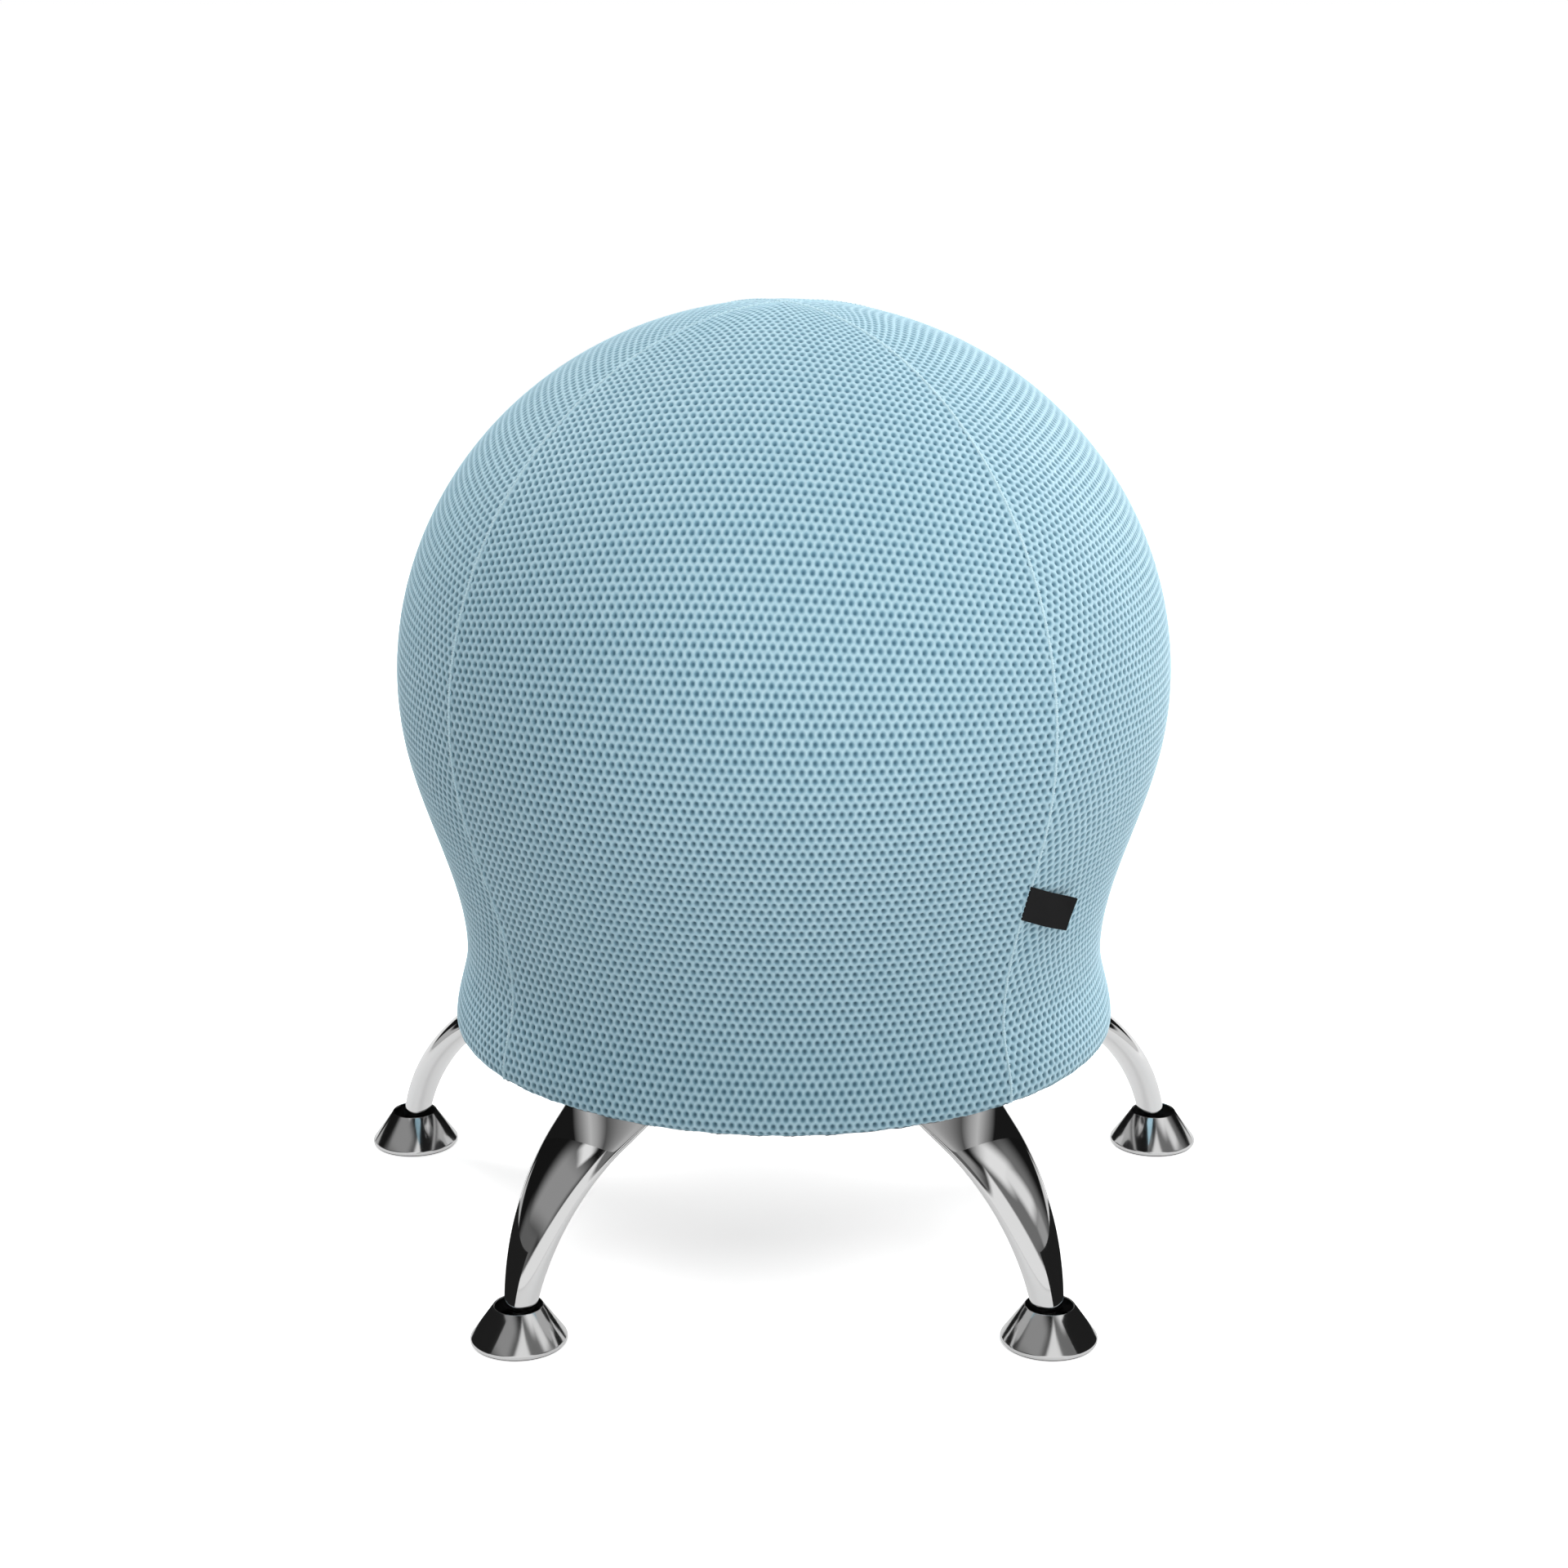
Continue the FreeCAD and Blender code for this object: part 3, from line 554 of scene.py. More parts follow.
def openMeshGraph():
    # lays cells over a flat cut of cloth, then wraps them to the places that the cut carries
    inputs = [("Pitch", "Float"), ("Row", "Float"), ("Columns", "Int"), ("Rows", "Int"), ("Middle", "Float")]
    inputs += [("Wide", "Float"), ("Long", "Float"), ("Cell", "Object"), ("Cloth", "Material")]
    tree, cut = newGraph("openMesh", inputs)
    pitch, row = cut.other("Pitch"), cut.other("Row")
    columns, rows = cut.other("Columns"), cut.other("Rows")
    size = {"Size X": (columns - 1) * pitch, "Size Y": (rows - 1) * row}
    grid = Wire.node(tree, "GeometryNodeMeshGrid", {}, {**size, "Vertices X": columns, "Vertices Y": rows})
    here = Wire.node(tree, "GeometryNodeInputPosition")
    level = split(tree, here, "Y") / row
    odd = level.sum("PINGPONG", level.sum("ROUND", level), 1.0)
    step = Wire.node(tree, "ShaderNodeCombineXYZ", {}, {"X": odd * pitch * 0.5, "Y": cut.other("Middle")})
    grid = Wire.node(tree, "GeometryNodeSetPosition", {}, {"Geometry": grid, "Offset": step})
    near = Wire.node(tree, "GeometryNodeProximity", {"target_element": "FACES"}, {0: cut}, "Distance")
    far = near.sum("GREATER_THAN", near, pitch * clothSet["overhang"])
    spots = without(tree, grid, far, "POINT")
    cell = Wire.node(tree, "GeometryNodeObjectInfo", {}, {"Object": cut.other("Cell")}, "Geometry")
    cells = Wire.node(tree, "GeometryNodeInstanceOnPoints", {}, {"Points": spots, "Instance": cell})
    cells = Wire.node(tree, "GeometryNodeRealizeInstances", {}, {"Geometry": cells})
    weld = {"Geometry": cells, "Distance": clothSet["weld"]}
    cells = Wire.node(tree, "GeometryNodeMergeByDistance", {}, weld)

    def carried(value):
        settings = {"data_type": "FLOAT_VECTOR"}
        return Wire.node(tree, "GeometryNodeSampleNearestSurface", settings, {"Mesh": cut, "Value": value})

    def named(label, kind="FLOAT_VECTOR"):
        return Wire.node(tree, "GeometryNodeInputNamedAttribute", {"data_type": kind}, {"Name": label})

    flat = carried(Wire.node(tree, "GeometryNodeInputPosition"))
    place, facing = carried(named("place")), carried(named("facing"))

    def keepMap(geometry, label, value):
        settings = {"data_type": "FLOAT2", "domain": "CORNER"}
        inputs = {"Geometry": geometry, "Name": label, "Value": value}
        return Wire.node(tree, "GeometryNodeStoreNamedAttribute", settings, inputs)

    def scaled(value, x, y, shift):
        parts = split(tree, value)
        upright = parts.other("Y") - cut.other("Middle")
        return Wire.node(tree, "ShaderNodeCombineXYZ", {}, {"X": parts / x + shift, "Y": upright / y + shift})

    cells = keepMap(cells, "cloth", scaled(flat, pitch, row * 2.0, 0.0))
    cells = keepMap(cells, "OFBake", scaled(flat, cut.other("Wide"), cut.other("Long"), 0.5))
    sink = scaledBy(tree, facing, named("sink", "FLOAT"))
    sunk = Wire.node(tree, "ShaderNodeVectorMath", {"operation": "SUBTRACT"}, {0: place, 1: sink})
    cells = Wire.node(tree, "GeometryNodeSetPosition", {}, {"Geometry": cells, "Position": sunk})
    area = Wire.node(tree, "GeometryNodeInputMeshFaceArea")
    cells = without(tree, cells, area.sum("LESS_THAN", area, clothSet["sliver"]), "FACE")
    cells = Wire.node(tree, "GeometryNodeSetShadeSmooth", {}, {"Geometry": cells})
    return endGraph(tree, cells, cut.other("Cloth"))


def goreCut(name, middle, half):
    # the flat cut of a gore, with the place on the cover that each of its points goes to
    count, columns = coverSet["steps"], coverSet["columns"]
    turns = np.linspace(-half, half, columns)
    s, turn = np.meshgrid(sectionLength, turns, indexing="ij")
    r = np.interp(s, sectionLength, sectionRadius)
    x = r * turn * (1 - coverSet["widen"] * turn**2)
    up = equator - s
    ease = np.clip((up - coverSet["liftStart"]) / coverSet["liftRun"], 0, 1)
    sag = coverSet["rowLift"][0] + coverSet["rowLift"][1] * ease**2 * (3 - 2 * ease)
    y = up * np.where(up > 0, *coverSet["rowStretch"]) + sag * turn**2
    place, facing = coverPoint(turn + middle, s)
    points = np.stack([x, y, np.zeros_like(x)], -1).reshape(-1, 3)
    index = np.arange(count * columns).reshape(count, columns)
    faces = np.stack([index[:-1, :-1], index[1:, :-1], index[1:, 1:], index[:-1, 1:]], -1).reshape(-1, 4)
    cut = newPiece(name, points, faces.tolist(), None)
    for label, value in (("place", place), ("facing", facing)):
        kept = cut.data.attributes.new(label, "FLOAT_VECTOR", "POINT")
        kept.data.foreach_set("vector", value.reshape(-1).astype(np.float32))
    return cut, points


def onSeat(piece):
    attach(piece, "seat")
    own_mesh(piece)


openMesh = openMeshGraph()
cell = meshCell(clothSet["pitch"], clothSet["row"], clothSet["holeWidth"], clothSet["holeHeight"])
mapMargin = 1.01  # the cut fills its own texture map but for a narrow margin
seamTurn = coverSet["firstSeam"]
seamTurns = []
gores, flats = {}, {}
for goreName, turn in coverSet["goreTurns"].items():
    half = math.radians(turn) / 2
    gore, flat = goreCut("cover" + goreName, math.radians(seamTurn) + half, half)
    low, high = flat.min(0), flat.max(0)
    size = (float(high[0] - low[0]), float(high[1] - low[1]))
    flats[goreName] = size, sum(f.area for f in gore.data.polygons)
    span = high - low + 2 * clothSet["row"]
    rows = 2 * int(span[1] / clothSet["row"] / 2) + 1
    columns = 2 * int(span[0] / clothSet["pitch"] / 2) + 1
    grow(
        gore,
        openMesh,
        {
            "Pitch": clothSet["pitch"],
            "Row": clothSet["row"],
            "Columns": columns,
            "Rows": rows,
            "Middle": float((low + high)[1] / 2),
            "Wide": size[0] * mapMargin,
            "Long": size[1] * mapMargin,
            "Cell": cell,
            "Cloth": finishes["coverMesh"],
        },
    )
    gores[goreName] = gore
    seamTurns.append(seamTurn)
    seamTurn += turn
    print("gore", goreName, len(gore.data.polygons), "faces")
bpy.data.objects.remove(cell)

# stitched ridge along each seam
seamSet = {
    "ridge": 0.0009,
    "sink": 0.0004,  # how deep the ridge's middle lies in the cloth
    "stitch": 0.0036,  # from stitch to stitch
    "thread": 0.0004,
    "stitchSize": (1.3, 3.4, 1.0),  # along the seam, across it and outwards, in threads
    "stitchLift": 0.8,  # of the ridge's radius
}


def seamGraph():
    inputs = [("Ridge", "Float"), ("Stitch", "Float"), ("Thread", "Float"), ("Yarn", "Material")]
    tree, line = newGraph("seamRidge", inputs)
    curve = Wire.node(tree, "GeometryNodeMeshToCurve", {}, {"Mesh": line})
    section = {"Resolution": 8, "Radius": line.other("Ridge")}
    hoop = Wire.node(tree, "GeometryNodeCurvePrimitiveCircle", {}, section)
    sweep = {"Curve": curve, "Profile Curve": hoop, "Fill Caps": True}
    ridge = Wire.node(tree, "GeometryNodeCurveToMesh", {}, sweep)
    spacing = {"Curve": curve, "Length": line.other("Stitch")}
    even = Wire.node(tree, "GeometryNodeResampleCurve", {"mode": "LENGTH"}, spacing)
    thread = {"Segments": 6, "Rings": 4, "Radius": line.other("Thread")}
    bead = Wire.node(tree, "GeometryNodeMeshUVSphere", {}, thread)
    tangent = Wire.node(tree, "GeometryNodeInputTangent")
    outwards = {"data_type": "FLOAT_VECTOR"}
    facing = Wire.node(tree, "GeometryNodeInputNamedAttribute", outwards, {"Name": "facing"})
    turnTo = "FunctionNodeAlignRotationToVector"
    aim = Wire.node(tree, turnTo, {"axis": "X"}, {"Vector": tangent})
    aim = Wire.node(tree, turnTo, {"axis": "Z", "pivot_axis": "X"}, {"Rotation": aim, "Vector": facing})
    laid = {"Points": even, "Instance": bead, "Rotation": aim, "Scale": seamSet["stitchSize"]}
    stitches = Wire.node(tree, "GeometryNodeInstanceOnPoints", {}, laid)
    lift = scaledBy(tree, facing, line.other("Ridge") * seamSet["stitchLift"])
    stitches = Wire.node(tree, "GeometryNodeSetPosition", {}, {"Geometry": stitches, "Offset": lift})
    joined = tree.nodes.new("GeometryNodeJoinGeometry")
    for part in (ridge, stitches):
        tree.links.new(part.socket, joined.inputs[0])
    whole = Wire.node(tree, "GeometryNodeRealizeInstances", {}, {"Geometry": Wire(tree, joined.outputs[0])})
    whole = Wire.node(tree, "GeometryNodeSetShadeSmooth", {}, {"Geometry": whole})
    return endGraph(tree, whole, line.other("Yarn"))


def seamLine(name, turn):
    s = sectionLength[: -coverSet["bareSteps"]]
    place, facing = coverPoint(np.full_like(s, math.radians(turn)), s)
    place = place - facing * seamSet["sink"]
    mesh = bpy.data.meshes.new(name)
    mesh.from_pydata([tuple(p) for p in place], [(i, i + 1) for i in range(len(s) - 1)], [])
    kept = mesh.attributes.new("facing", "FLOAT_VECTOR", "POINT")
    kept.data.foreach_set("vector", facing.reshape(-1).astype(np.float32))
    piece = bpy.data.objects.new(name, mesh)
    scene.collection.objects.link(piece)
    return piece


seamRidge = seamGraph()
seams = {}
for goreName, turn in zip(coverSet["goreTurns"], seamTurns):
    seam = seamLine("seam" + goreName, turn)
    values = {
        "Ridge": seamSet["ridge"],
        "Stitch": seamSet["stitch"],
        "Thread": seamSet["thread"],
        "Yarn": finishes["seamYarn"],
    }
    seams[goreName] = grow(seam, seamRidge, values)
print("seams sewn,", sum(len(s.data.polygons) for s in seams.values()), "faces")

for goreName, gore in gores.items():
    node = "cover_" + goreName.lower()
    onSeat(gore)
    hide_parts(node)
    onSeat(seams[goreName])
    size, area = flats[goreName]
    print("flat cut", goreName, [round(v, 3) for v in size], round(area, 4))


# label
def labelFlag():
    turn, along, up = math.radians(labelSet["turn"]), 30, 18
    upTo = -coverSet["lowSteps"]
    s = np.interp(-labelSet["height"], -sectionHeight[:upTo], sectionLength[:upTo])
    root, facing = (v.reshape(3) for v in coverPoint(np.array([turn]), np.array([s])))
    higher = 0.004  # a short step up the section shows the way up
    step, _ = coverPoint(np.array([turn]), np.array([s - higher]))
    upward = step.reshape(3) - root
    upward /= np.linalg.norm(upward)
    side = np.array([math.cos(turn), math.sin(turn), 0.0])
    droop = math.tan(math.radians(labelSet["droop"]))
    alongTurn, upTurn = labelSet["waveTurns"]
    points, map2d = [], []
    for j in range(up):
        for i in range(along):
            a, b = i / (along - 1), j / (up - 1) - 0.5
            wave = labelSet["wave"] * math.sin(alongTurn * a + upTurn * b) * a
            out = labelSet["gap"] + labelSet["lift"] * a ** labelSet["curl"] + wave
            x = labelSet["length"] * (a - labelSet["tuck"]) * (1 + labelSet["tuck"] * b)
            y = labelSet["width"] * b - droop * x - labelSet["sag"] * math.sin(math.pi * a)
            points.append(root + side * x + upward * y + facing * out)
            map2d.append((a, b + 0.5))
    faces = [
        (j * along + i, j * along + i + 1, (j + 1) * along + i + 1, (j + 1) * along + i)
        for j in range(up - 1)
        for i in range(along - 1)
    ]
    flag = newPiece("labelFlag", points, faces, "labelWeave")
    layer = flag.data.uv_layers.new(name="weave")
    corners = np.zeros(len(flag.data.loops), np.int32)
    flag.data.loops.foreach_get("vertex_index", corners)
    layer.uv.foreach_set("vector", np.array(map2d, np.float32)[corners].reshape(-1))
    wall = flag.modifiers.new("wall", "SOLIDIFY")
    wall.thickness = labelSet["thick"]
    wall.offset = 0
    edge = flag.modifiers.new("edge", "BEVEL")
    edge.width = labelSet["edge"]
    edge.segments = 2
    return keepShape(flag)


label = labelFlag()
onSeat(label)
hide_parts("label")
print("label sewn in")


# turned pieces
def turnedPiece(name, line, finish, count, closed=False):
    # line is a half section of (radius, height), outside on its right
    points, faces, rings = [], [], []
    for r, z in line:
        if r < 1e-7:
            rings.append([len(points)] * count)
            points.append((0, 0, z))
            continue
        rings.append(list(range(len(points), len(points) + count)))
        for i in range(count):
            a = 2 * math.pi * i / count
            points.append((r * math.cos(a), r * math.sin(a), z))
    pairs = list(zip(rings, rings[1:])) + ([(rings[-1], rings[0])] if closed else [])
    for one, two in pairs:
        for i in range(count):
            k = (i + 1) % count
            ring = [one[i], one[k], two[k], two[i]]
            faces.append(tuple(dict.fromkeys(ring)))
    piece = newPiece(name, points, faces, finish)
    return outward(piece)


def outward(piece):
    shape = bmesh.new()
    shape.from_mesh(piece.data)
    bmesh.ops.remove_doubles(shape, verts=shape.verts, dist=1e-6)
    bmesh.ops.recalc_face_normals(shape, faces=shape.faces)
    shape.to_mesh(piece.data)
    shape.free()
    return piece


ballSet = {
    "radius": ballHigh[0],
    "middle": coverSet["middle"],
    "above": ballHigh[2] - coverSet["middle"],
    "below": coverSet["middle"] - ballLow[2],
    "ribs": 46,
    "rib": 0.0004,
    "steps": 240,
    "sides": 96,
}


def ballShell():
    line, steps = [], ballSet["steps"]
    for i in range(steps + 1):
        a = math.pi * i / steps - math.pi / 2
        inset = ballSet["rib"] * (0.5 - 0.5 * math.cos(2 * math.pi * ballSet["ribs"] * i / steps))
        tall = ballSet["above"] if a > 0 else ballSet["below"]
        r = (ballSet["radius"] - inset) * math.cos(a)
        line.append((max(r, 0.0), ballSet["middle"] + (tall - inset) * math.sin(a)))
    return turnedPiece("ballShell", line, "ballVinyl", ballSet["sides"])


ball = ballShell()
onSeat(ball)
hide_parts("ball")
print("ball made")

# legs
places = ("front_right", "side_right", "rear", "side_left", "front_left")
firstPlace, placeStep = -54.0, 72.0
padLow, padHigh = nodeBox("glide_pad_rear")
plateLow, _ = nodeBox("leg_plate_rear")
legSet = {
    "foot": ((padLow + padHigh)[1] / 2, 0.010),
    "slant": 10.0,  # from upright at the foot
    "slope": 26.0,  # from level at the plate
    "bend": 0.112,
    "endRun": 0.010,
    "topRun": 0.074,
    "start": 0.008,
    "width": (0.019, 0.075),  # at the foot and at the plate
    "height": (0.016, 0.020),
    "wall": 0.002,
    "lip": (0.0004, 0.0005),  # rounding of the lower end, inside and outside
    "plateLow": plateLow[2],
    "rings": 64,
    "sides": 64,
}


def legLine(station):
    slant = math.radians(legSet["slant"])
    bendTurn = math.pi / 2 - slant - math.radians(legSet["slope"])
    footX, footZ = legSet["foot"]
    bend, endRun = legSet["bend"], legSet["endRun"]
    centreX = footX - math.sin(slant) * endRun - math.cos(slant) * bend
    centreZ = footZ + math.cos(slant) * endRun - math.sin(slant) * bend
    turn = min(max((station - endRun) / bend, 0.0), bendTurn)
    lean, past = slant + turn, station - endRun - bend * turn
    out = Vector((math.cos(lean), 0, math.sin(lean)))
    way = Vector((-math.sin(lean), 0, math.cos(lean)))
    return Vector((centreX, 0, centreZ)) + out * bend + way * past, out


def legTube(name):
    slant, slope = math.radians(legSet["slant"]), math.radians(legSet["slope"])
    longest = legSet["endRun"] + legSet["bend"] * (math.pi / 2 - slant - slope) + legSet["topRun"]
    points, faces, rings = [], [], []

    def addRing(station, inset):
        point, out = legLine(station)
        share = (station - legSet["start"]) / (longest - legSet["start"])
        wide = (legSet["width"][0] + (legSet["width"][1] - legSet["width"][0]) * share) / 2 - inset
        tall = (legSet["height"][0] + (legSet["height"][1] - legSet["height"][0]) * share) / 2 - inset
        rings.append(range(len(points), len(points) + legSet["sides"]))
        for i in range(legSet["sides"]):
            a = 2 * math.pi * i / legSet["sides"]
            points.append(point + Vector((0, wide * math.cos(a), 0)) + out * (tall * math.sin(a)))

    stations = np.linspace(legSet["start"], longest, legSet["rings"])
    inside, outside = legSet["lip"]
    for station in stations[::-4]:
        addRing(station, legSet["wall"])
    addRing(stations[0], legSet["wall"] - inside)
    addRing(stations[0], outside)
    for station in [stations[0] + inside, *stations[1:]]:
        addRing(station, 0.0)
    for one, two in zip(rings, rings[1:]):
        for i in range(legSet["sides"]):
            k = (i + 1) % legSet["sides"]
            faces.append((one[i], one[k], two[k], two[i]))
    leg = newPiece(name, points, faces, "legChrome")
    shape = bmesh.new()
    shape.from_mesh(leg.data)
    bmesh.ops.bisect_plane(
        shape,
        geom=shape.verts[:] + shape.edges[:] + shape.faces[:],
        plane_co=(0, 0, legSet["plateLow"]),
        plane_no=(0, 0, 1),
        clear_outer=True,
    )
    shape.to_mesh(leg.data)
    shape.free()
    return leg


def placeTurn(index):
    # from the x axis to one of the places round the seat
    return Matrix.Rotation(math.radians(firstPlace + placeStep * index), 4, "Z")


def standAt(piece, index):
    piece.data.transform(placeTurn(index))
    piece.data.update()
    return piece


def camel(name):
    return "".join(part.capitalize() for part in name.split("_"))


bellSet = {
    "base": 0.0274,
    "top": 0.0144,
    "low": 0.0006,
    "band": 0.0022,
    "height": 0.0215,
    "wall": 0.001,
    "lip": 0.0004,
    "sides": 80,
}


def bellLine():
    # half section of a bell: rolled lower edge, straight side and rolled lip, outside first
    base, top, wall, lip = bellSet["base"], bellSet["top"], bellSet["wall"], bellSet["lip"]
    low, shoulder, high = bellSet["low"], bellSet["low"] + bellSet["band"], bellSet["height"]
    roll = wall / 2
    line = [tuple(p) for p in roundArc((base - roll, low + roll), roll, -180, 0, 9)]
    line += [(base, shoulder - lip), (base - lip / 3, shoulder), (base - lip, shoulder + lip)]
    line += [tuple(p) for p in roundArc((top - roll, high - roll), roll, 30, 190, 9)]
    return line + [(base - wall - lip, shoulder)]


def bellShell(name):
    piece = turnedPiece(name, bellLine(), "glideChrome", bellSet["sides"], closed=True)
    piece.data.transform(Matrix.Translation((legSet["foot"][0], 0, 0)))
    return piece


for index, place in enumerate(places):
    leg = standAt(legTube("leg" + camel(place)), index)
    outward(leg)
    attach(leg, "base")
    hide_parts("leg_" + place)
    bell = standAt(bellShell("bell" + camel(place)), index)
    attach(bell, "glide_" + place)
    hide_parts("glide_bell_" + place)
print("legs and bells made")

# bolts, one shape set at every hole of the five plates
boltSet = {
    "crown": 0.0036,
    "head": 0.0052,
    "headHeight": 0.0032,
    "shank": 0.003,
    "length": 0.0145,
    "socket": 0.002,  # from the axis to a flat of the hexagon
    "socketDepth": 0.0018,
    "bulge": 0.0002,
    "sides": 24,
    "spots": [(x, y) for x in (0.110, 0.164) for y in (-0.040, 0.040)],  # of the plate on the x axis
}


def boltShape():
    # head downwards with its crown at height 0, a hexagon sunk in it
    sides, flat = boltSet["sides"], math.pi / 3
    crown, head, headHeight, shank = (boltSet[k] for k in ("crown", "head", "headHeight", "shank"))
    turns = [2 * math.pi * i / sides for i in range(sides)]
    hexagon = [boltSet["socket"] / math.cos((a + flat / 2) % flat - flat / 2) for a in turns]
    # each ring's radius, even or following the hexagon, and its height
    profile = [(hexagon, boltSet["socketDepth"]), (hexagon, 0.0)]
    shoulder = (crown + head) / 2 + boltSet["bulge"]
    for radius, height in (
        (crown, 0.0),
        (shoulder, headHeight * 0.25),
        (head, headHeight * 0.6),
        (head, headHeight),
        (shank, headHeight),
        (shank, boltSet["length"]),
    ):
        profile.append(([radius] * sides, height))
    rings = [[(r * math.cos(a), r * math.sin(a), z) for r, a in zip(radii, turns)] for radii, z in profile]
    points = [p for ring in rings for p in ring]
    faces = [tuple(range(sides)), tuple(range(len(points) - 1, len(points) - sides - 1, -1))]
    for k in range(len(rings) - 1):
        for i in range(sides):
            j = (i + 1) % sides
            faces.append((k * sides + i, k * sides + j, (k + 1) * sides + j, (k + 1) * sides + i))
    return outward(newPiece("boltShape", points, faces, "boltSteel", smooth=False))


def repeatGraph():
    # sets one shape at every point of a piece
    tree, spots = newGraph("repeatAtPoints", [("Shape", "Object"), ("Finish", "Material")])
    shape = Wire.node(tree, "GeometryNodeObjectInfo", {}, {"Object": spots.other("Shape")}, "Geometry")
    whole = Wire.node(tree, "GeometryNodeInstanceOnPoints", {}, {"Points": spots, "Instance": shape})
    return endGraph(tree, whole, spots.other("Finish"))


def boltSpots():
    points, height = [], legSet["plateLow"] - boltSet["headHeight"]
    for index in range(len(places)):
        turn = placeTurn(index)
        points += [turn @ Vector((x, y, height)) for x, y in boltSet["spots"]]
    return points


bolt = boltShape()
bolts = newPiece("legBolts", boltSpots(), [], None)
grow(bolts, repeatGraph(), {"Shape": bolt, "Finish": finishes["boltSteel"]})
bpy.data.objects.remove(bolt)
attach(bolts, "base")
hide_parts("leg_bolts")
print("bolts set,", len(bolts.data.polygons), "faces")

# finishes of the frame's own pieces
nodeFinish = {
    "base_pan": "panPlastic",
    "threaded_inserts": "insertBrass",
    "hem_elastic": "elasticCord",
    "valve_plug": "valvePlastic",
}
for place in places:
    nodeFinish["leg_plate_" + place] = "plateCoat"
    nodeFinish["leg_plug_" + place] = "plugNylon"
    nodeFinish["glide_stud_" + place] = "studSteel"
    nodeFinish["glide_socket_" + place] = "glideNylon"
    nodeFinish["glide_pad_" + place] = "glideNylon"
for node, finish in nodeFinish.items():
    setFinish(nodes[node], finish)

# stage
stageSet = {
    "floor": 60.0,
    "drop": 0.0004,
    "paint": 0.92,
    "whiten": (0.66, 0.90),  # added to the floor where it is looked at, near the stool and far from it
    "whitenReach": (0.6, 3.5),
    "mirrorWhiten": 0.54,
    "mirrorPaint": 0.25,  # share of the paint that reflections show
    "ambient": 0.14,
    "lamps": {
        "front": {"place": (0.3, -1.5, 2.1), "size": 1.0, "power": 20.0},
        "right": {"place": (2.0, 0.2, 0.9), "size": 1.2, "power": 8.0},
        "leftBack": {"place": (-1.2, 1.2, 1.6), "size": 1.2, "power": 30.5},
        "rightBack": {"place": (1.4, 1.2, 1.2), "size": 1.2, "power": 37.0},
        "top": {"place": (0.0, 0.3, 2.4), "size": 1.2, "power": 5.0},
    },
    "spot": {
        "place": (0.35, -2.6, 1.5),
        "aim": (0.045, -0.19, 0.455),
        "spread": 6.8,
        "soft": 0.2,
        "power": 290.0,
    },
    "aim": (0.0, 0.0, 0.30),
    "dome": 6.0,
    "night": 0.008,
    # lit parts of the dome: middle, half sizes, soft edge, level, narrowing upwards and lean to the side
    "windows": {
        "front": {
            "way": (0, -1, 0),
            "wide": 0.92,
            "tall": 1.1,
            "edge": 0.06,
            "glow": 0.83,
            "taper": 1.03,
            "skew": -0.2,
        },
        "upLeft": {"way": (-0.54, -0.37, 0.76), "wide": 0.46, "tall": 0.32, "edge": 0.15, "glow": 0.30},
        "lowLeft": {"way": (-0.87, -0.40, 0.22), "wide": 0.42, "tall": 0.33, "edge": 0.14, "glow": 0.12},
        "highLeft": {"way": (-0.30, -0.08, 0.95), "wide": 0.20, "tall": 0.10, "edge": 0.07, "glow": 0.85},
        "backLeft": {"way": (-0.944, 0.33, 0.05), "wide": 0.40, "tall": 0.14, "edge": 0.03, "glow": 0.45},
        "upRight": {"way": (0.66, -0.30, 0.60), "wide": 0.58, "tall": 0.43, "edge": 0.16, "glow": 0.17},
        "highRight": {"way": (0.46, -0.13, 0.88), "wide": 0.26, "tall": 0.23, "edge": 0.15, "glow": 0.85},
        "right": {"way": (0.66, -0.13, 0.74), "wide": 0.18, "tall": 0.32, "edge": 0.12, "glow": 0.80},
        "lowRight": {"way": (0.96, -0.17, 0.22), "wide": 0.21, "tall": 0.32, "edge": 0.12, "glow": 0.34},
        "backRight": {"way": (0.944, 0.33, 0.05), "wide": 0.46, "tall": 0.14, "edge": 0.03, "glow": 0.65},
    },
    # curved dark panel round the outer side of each front foot: radius, turns from the front, height
    "panel": {"reach": 0.051, "turns": (49, 160), "tall": 0.072, "level": 0.015},
    # flat glowing hoop under the hem that only reflections show, a painted reflection of the shaded seat
    # underside on the leg tops, its level graded over a run of distances from the middle to either side
    "hoop": {
        "inner": 0.10,
        "gap": 0.004,
        "height": 0.1165,
        "run": (0.08, 0.13),
        "levels": {0.0: 0.45, 0.28: 0.24, 0.44: 0.09, 0.56: 0.36, 0.66: 0.52, 0.78: 0.26, 0.92: 0.01},
    },
}


def looked(tree):
    # 1 for a camera ray, and 1 for a ray that comes by a reflection or through a clear piece
    seen = Wire.node(tree, "ShaderNodeLightPath", out="Is Camera Ray")
    return seen, seen.sum("MAXIMUM", seen.other("Is Glossy Ray"), seen.other("Is Transmission Ray"))


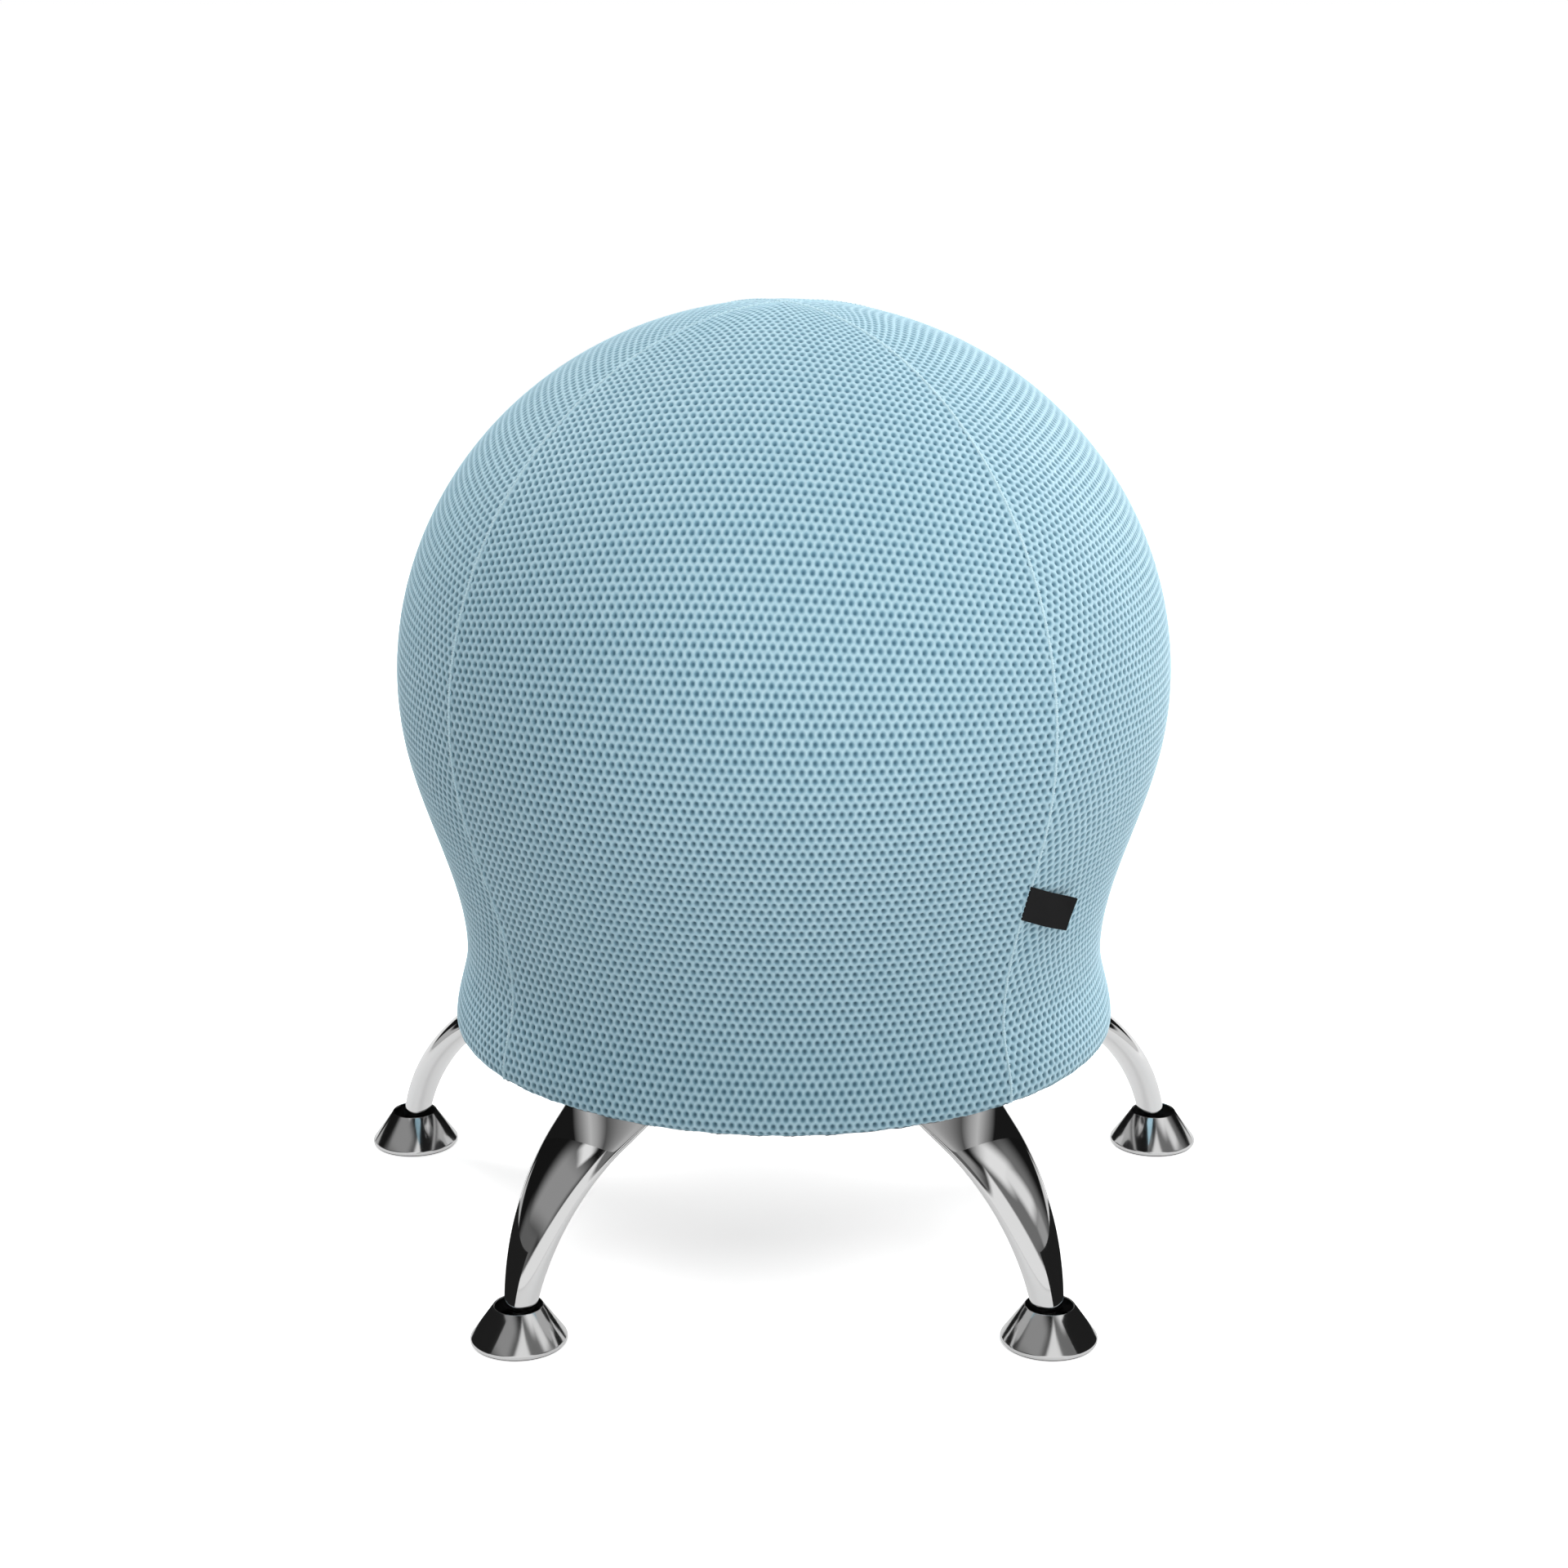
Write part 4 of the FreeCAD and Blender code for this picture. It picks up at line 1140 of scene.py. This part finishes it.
def floorFinish():
    # white where it is looked at, and a little less so in reflections
    finish, tree = newFinish("floorPaint")
    seen, mirrored = looked(tree)
    share = 1.0 - mirrored * (1.0 - stageSet["mirrorPaint"])
    colour = mixColour(tree, share, grey(0.0), grey(stageSet["paint"]))
    paint = Wire.node(tree, "ShaderNodeBsdfDiffuse", {}, {"Color": colour})
    near, far = stageSet["whiten"]
    reach = Wire.node(tree, "ShaderNodeVectorMath", {"operation": "LENGTH"}, {0: objectSpace(tree)}, "Value")
    whiten = rise(tree, reach, *stageSet["whitenReach"]) * (far - near) + near
    added = seen * whiten + mirrored * stageSet["mirrorWhiten"]
    white = Wire.node(tree, "ShaderNodeEmission", {}, {"Color": grey(1.0), "Strength": added})
    both = Wire.node(tree, "ShaderNodeAddShader", {}, {0: paint, 1: white})
    Wire.node(tree, "ShaderNodeOutputMaterial", {}, {"Surface": both})
    return finish


def shine(tree, glow):
    light = Wire.node(tree, "ShaderNodeEmission", {}, {"Color": grey(1.0), "Strength": glow})
    Wire.node(tree, "ShaderNodeOutputMaterial", {}, {"Surface": light})


def domeFinish():
    # a dark studio with a few lit windows, for what the chrome reflects
    finish, tree = newFinish("studioDome")
    way = Wire.node(tree, "ShaderNodeVectorMath", {"operation": "NORMALIZE"}, {0: objectSpace(tree)})

    def along(axis):
        settings = {"operation": "DOT_PRODUCT"}
        return Wire.node(tree, "ShaderNodeVectorMath", settings, {0: way, 1: axis}, "Value")

    def within(reach, limit, edge):
        return 1.0 - rise(tree, reach.sum("ABSOLUTE", reach), limit - edge, limit + edge)

    glow = stageSet["night"]
    for spot in stageSet["windows"].values():
        facing = Vector(spot["way"]).normalized()
        side = facing.cross(Vector((0, 0, 1))).normalized()
        ahead, height = along(facing), along(side.cross(facing))
        across = along(side) - height * spot.get("skew", 0.0)
        across = across.sum("ABSOLUTE", across) + height * spot.get("taper", 0.0)
        share = within(across, spot["wide"], spot["edge"]) * within(height, spot["tall"], spot["edge"])
        lit = share * ahead.sum("GREATER_THAN", ahead, 0.0) * spot["glow"]
        glow = lit.sum("MAXIMUM", lit, glow)
    shine(tree, glow)
    return finish


def stagePiece(name, points, faces, finish):
    piece = newPiece(name, points, faces, None)
    piece.data.materials.append(finish)
    return piece


half = stageSet["floor"] / 2
corners = [(-half, -half, 0), (half, -half, 0), (half, half, 0), (-half, half, 0)]
floor = stagePiece("floor", corners, [(0, 1, 2, 3)], floorFinish())
floor.location.z = -stageSet["drop"]

dome = stagePiece("dome", [], [], domeFinish())
sphere = bmesh.new()
bmesh.ops.create_uvsphere(sphere, u_segments=48, v_segments=24, radius=stageSet["dome"])
sphere.to_mesh(dome.data)
sphere.free()


def hideFromCamera(piece):
    piece.visible_camera = False
    piece.visible_diffuse = False
    piece.visible_transmission = False
    piece.visible_shadow = False


hideFromCamera(dome)


def evenFinish(name, level):
    finish, tree = newFinish(name)
    shine(tree, level)
    return finish


def hoopFinish():
    finish, tree = newFinish("hoopPaintedReflection")
    aside = split(tree, objectSpace(tree))
    start, stop = stageSet["hoop"]["run"]
    share = (aside.sum("ABSOLUTE", aside) - start) / (stop - start)
    shine(tree, ramp(tree, share, [(at, grey(level)) for at, level in stageSet["hoop"]["levels"].items()]))
    return finish


def strip(name, one, two, finish):
    # a strip between two rows of points that only reflections show
    count = len(one)
    faces = [(i, i + 1, count + i + 1, count + i) for i in range(count - 1)]
    hideFromCamera(stagePiece(name, one + two, faces, finish))


panel, hoop = stageSet["panel"], stageSet["hoop"]
panelFinish = evenFinish("panelGrey", panel["level"])
for place, hand in (("front_left", -1), ("front_right", 1)):
    low, high = nodeBox("glide_pad_" + place)
    middle, reach = (low + high) / 2, panel["reach"]
    lower, upper = [], []
    for a in np.radians(np.linspace(*panel["turns"], 25)):
        x, y = middle[0] + hand * reach * math.sin(a), middle[1] - reach * math.cos(a)
        lower.append((x, y, 0))
        upper.append((x, y, panel["tall"]))
    strip("panel" + camel(place), lower, upper, panelFinish)
# painted reflection: a glowing hoop under the hem that the leg tops reflect
hoopRadii = (hoop["inner"], coverSet["rim"] + coverSet["turn"] + hoop["gap"])
turns = np.linspace(0, 2 * math.pi, 97)
inner, outer = ([(r * math.cos(a), r * math.sin(a), hoop["height"]) for a in turns] for r in hoopRadii)
strip("hemHoop", inner, outer, hoopFinish())


def addLamp(name, kind, place, aim, power):
    lamp = bpy.data.objects.new(name, bpy.data.lights.new(name, kind))
    lamp.data.energy = power
    lamp.location = place
    lamp.rotation_euler = (Vector(aim) - Vector(place)).to_track_quat("-Z", "Y").to_euler()
    lamp.visible_glossy = False
    scene.collection.objects.link(lamp)
    return lamp


for name, spot in stageSet["lamps"].items():
    addLamp(name, "AREA", spot["place"], stageSet["aim"], spot["power"]).data.size = spot["size"]
spot = stageSet["spot"]
spotLamp = addLamp("spot", "SPOT", spot["place"], spot["aim"], spot["power"])
spotLamp.data.spot_size = math.radians(spot["spread"])
spotLamp.data.spot_blend = 1.0
spotLamp.data.shadow_soft_size = spot["soft"]

world = bpy.data.worlds.new("studio")
world.use_nodes = True
sky = world.node_tree
sky.nodes.clear()
seen, mirrored = looked(sky)
level = seen.sum("MAXIMUM", seen, mirrored) * (1 - stageSet["ambient"]) + stageSet["ambient"]
back = Wire.node(sky, "ShaderNodeBackground", {}, {"Color": grey(1.0), "Strength": level})
Wire.node(sky, "ShaderNodeOutputWorld", {}, {"Surface": back})
scene.world = world
print("stage set")
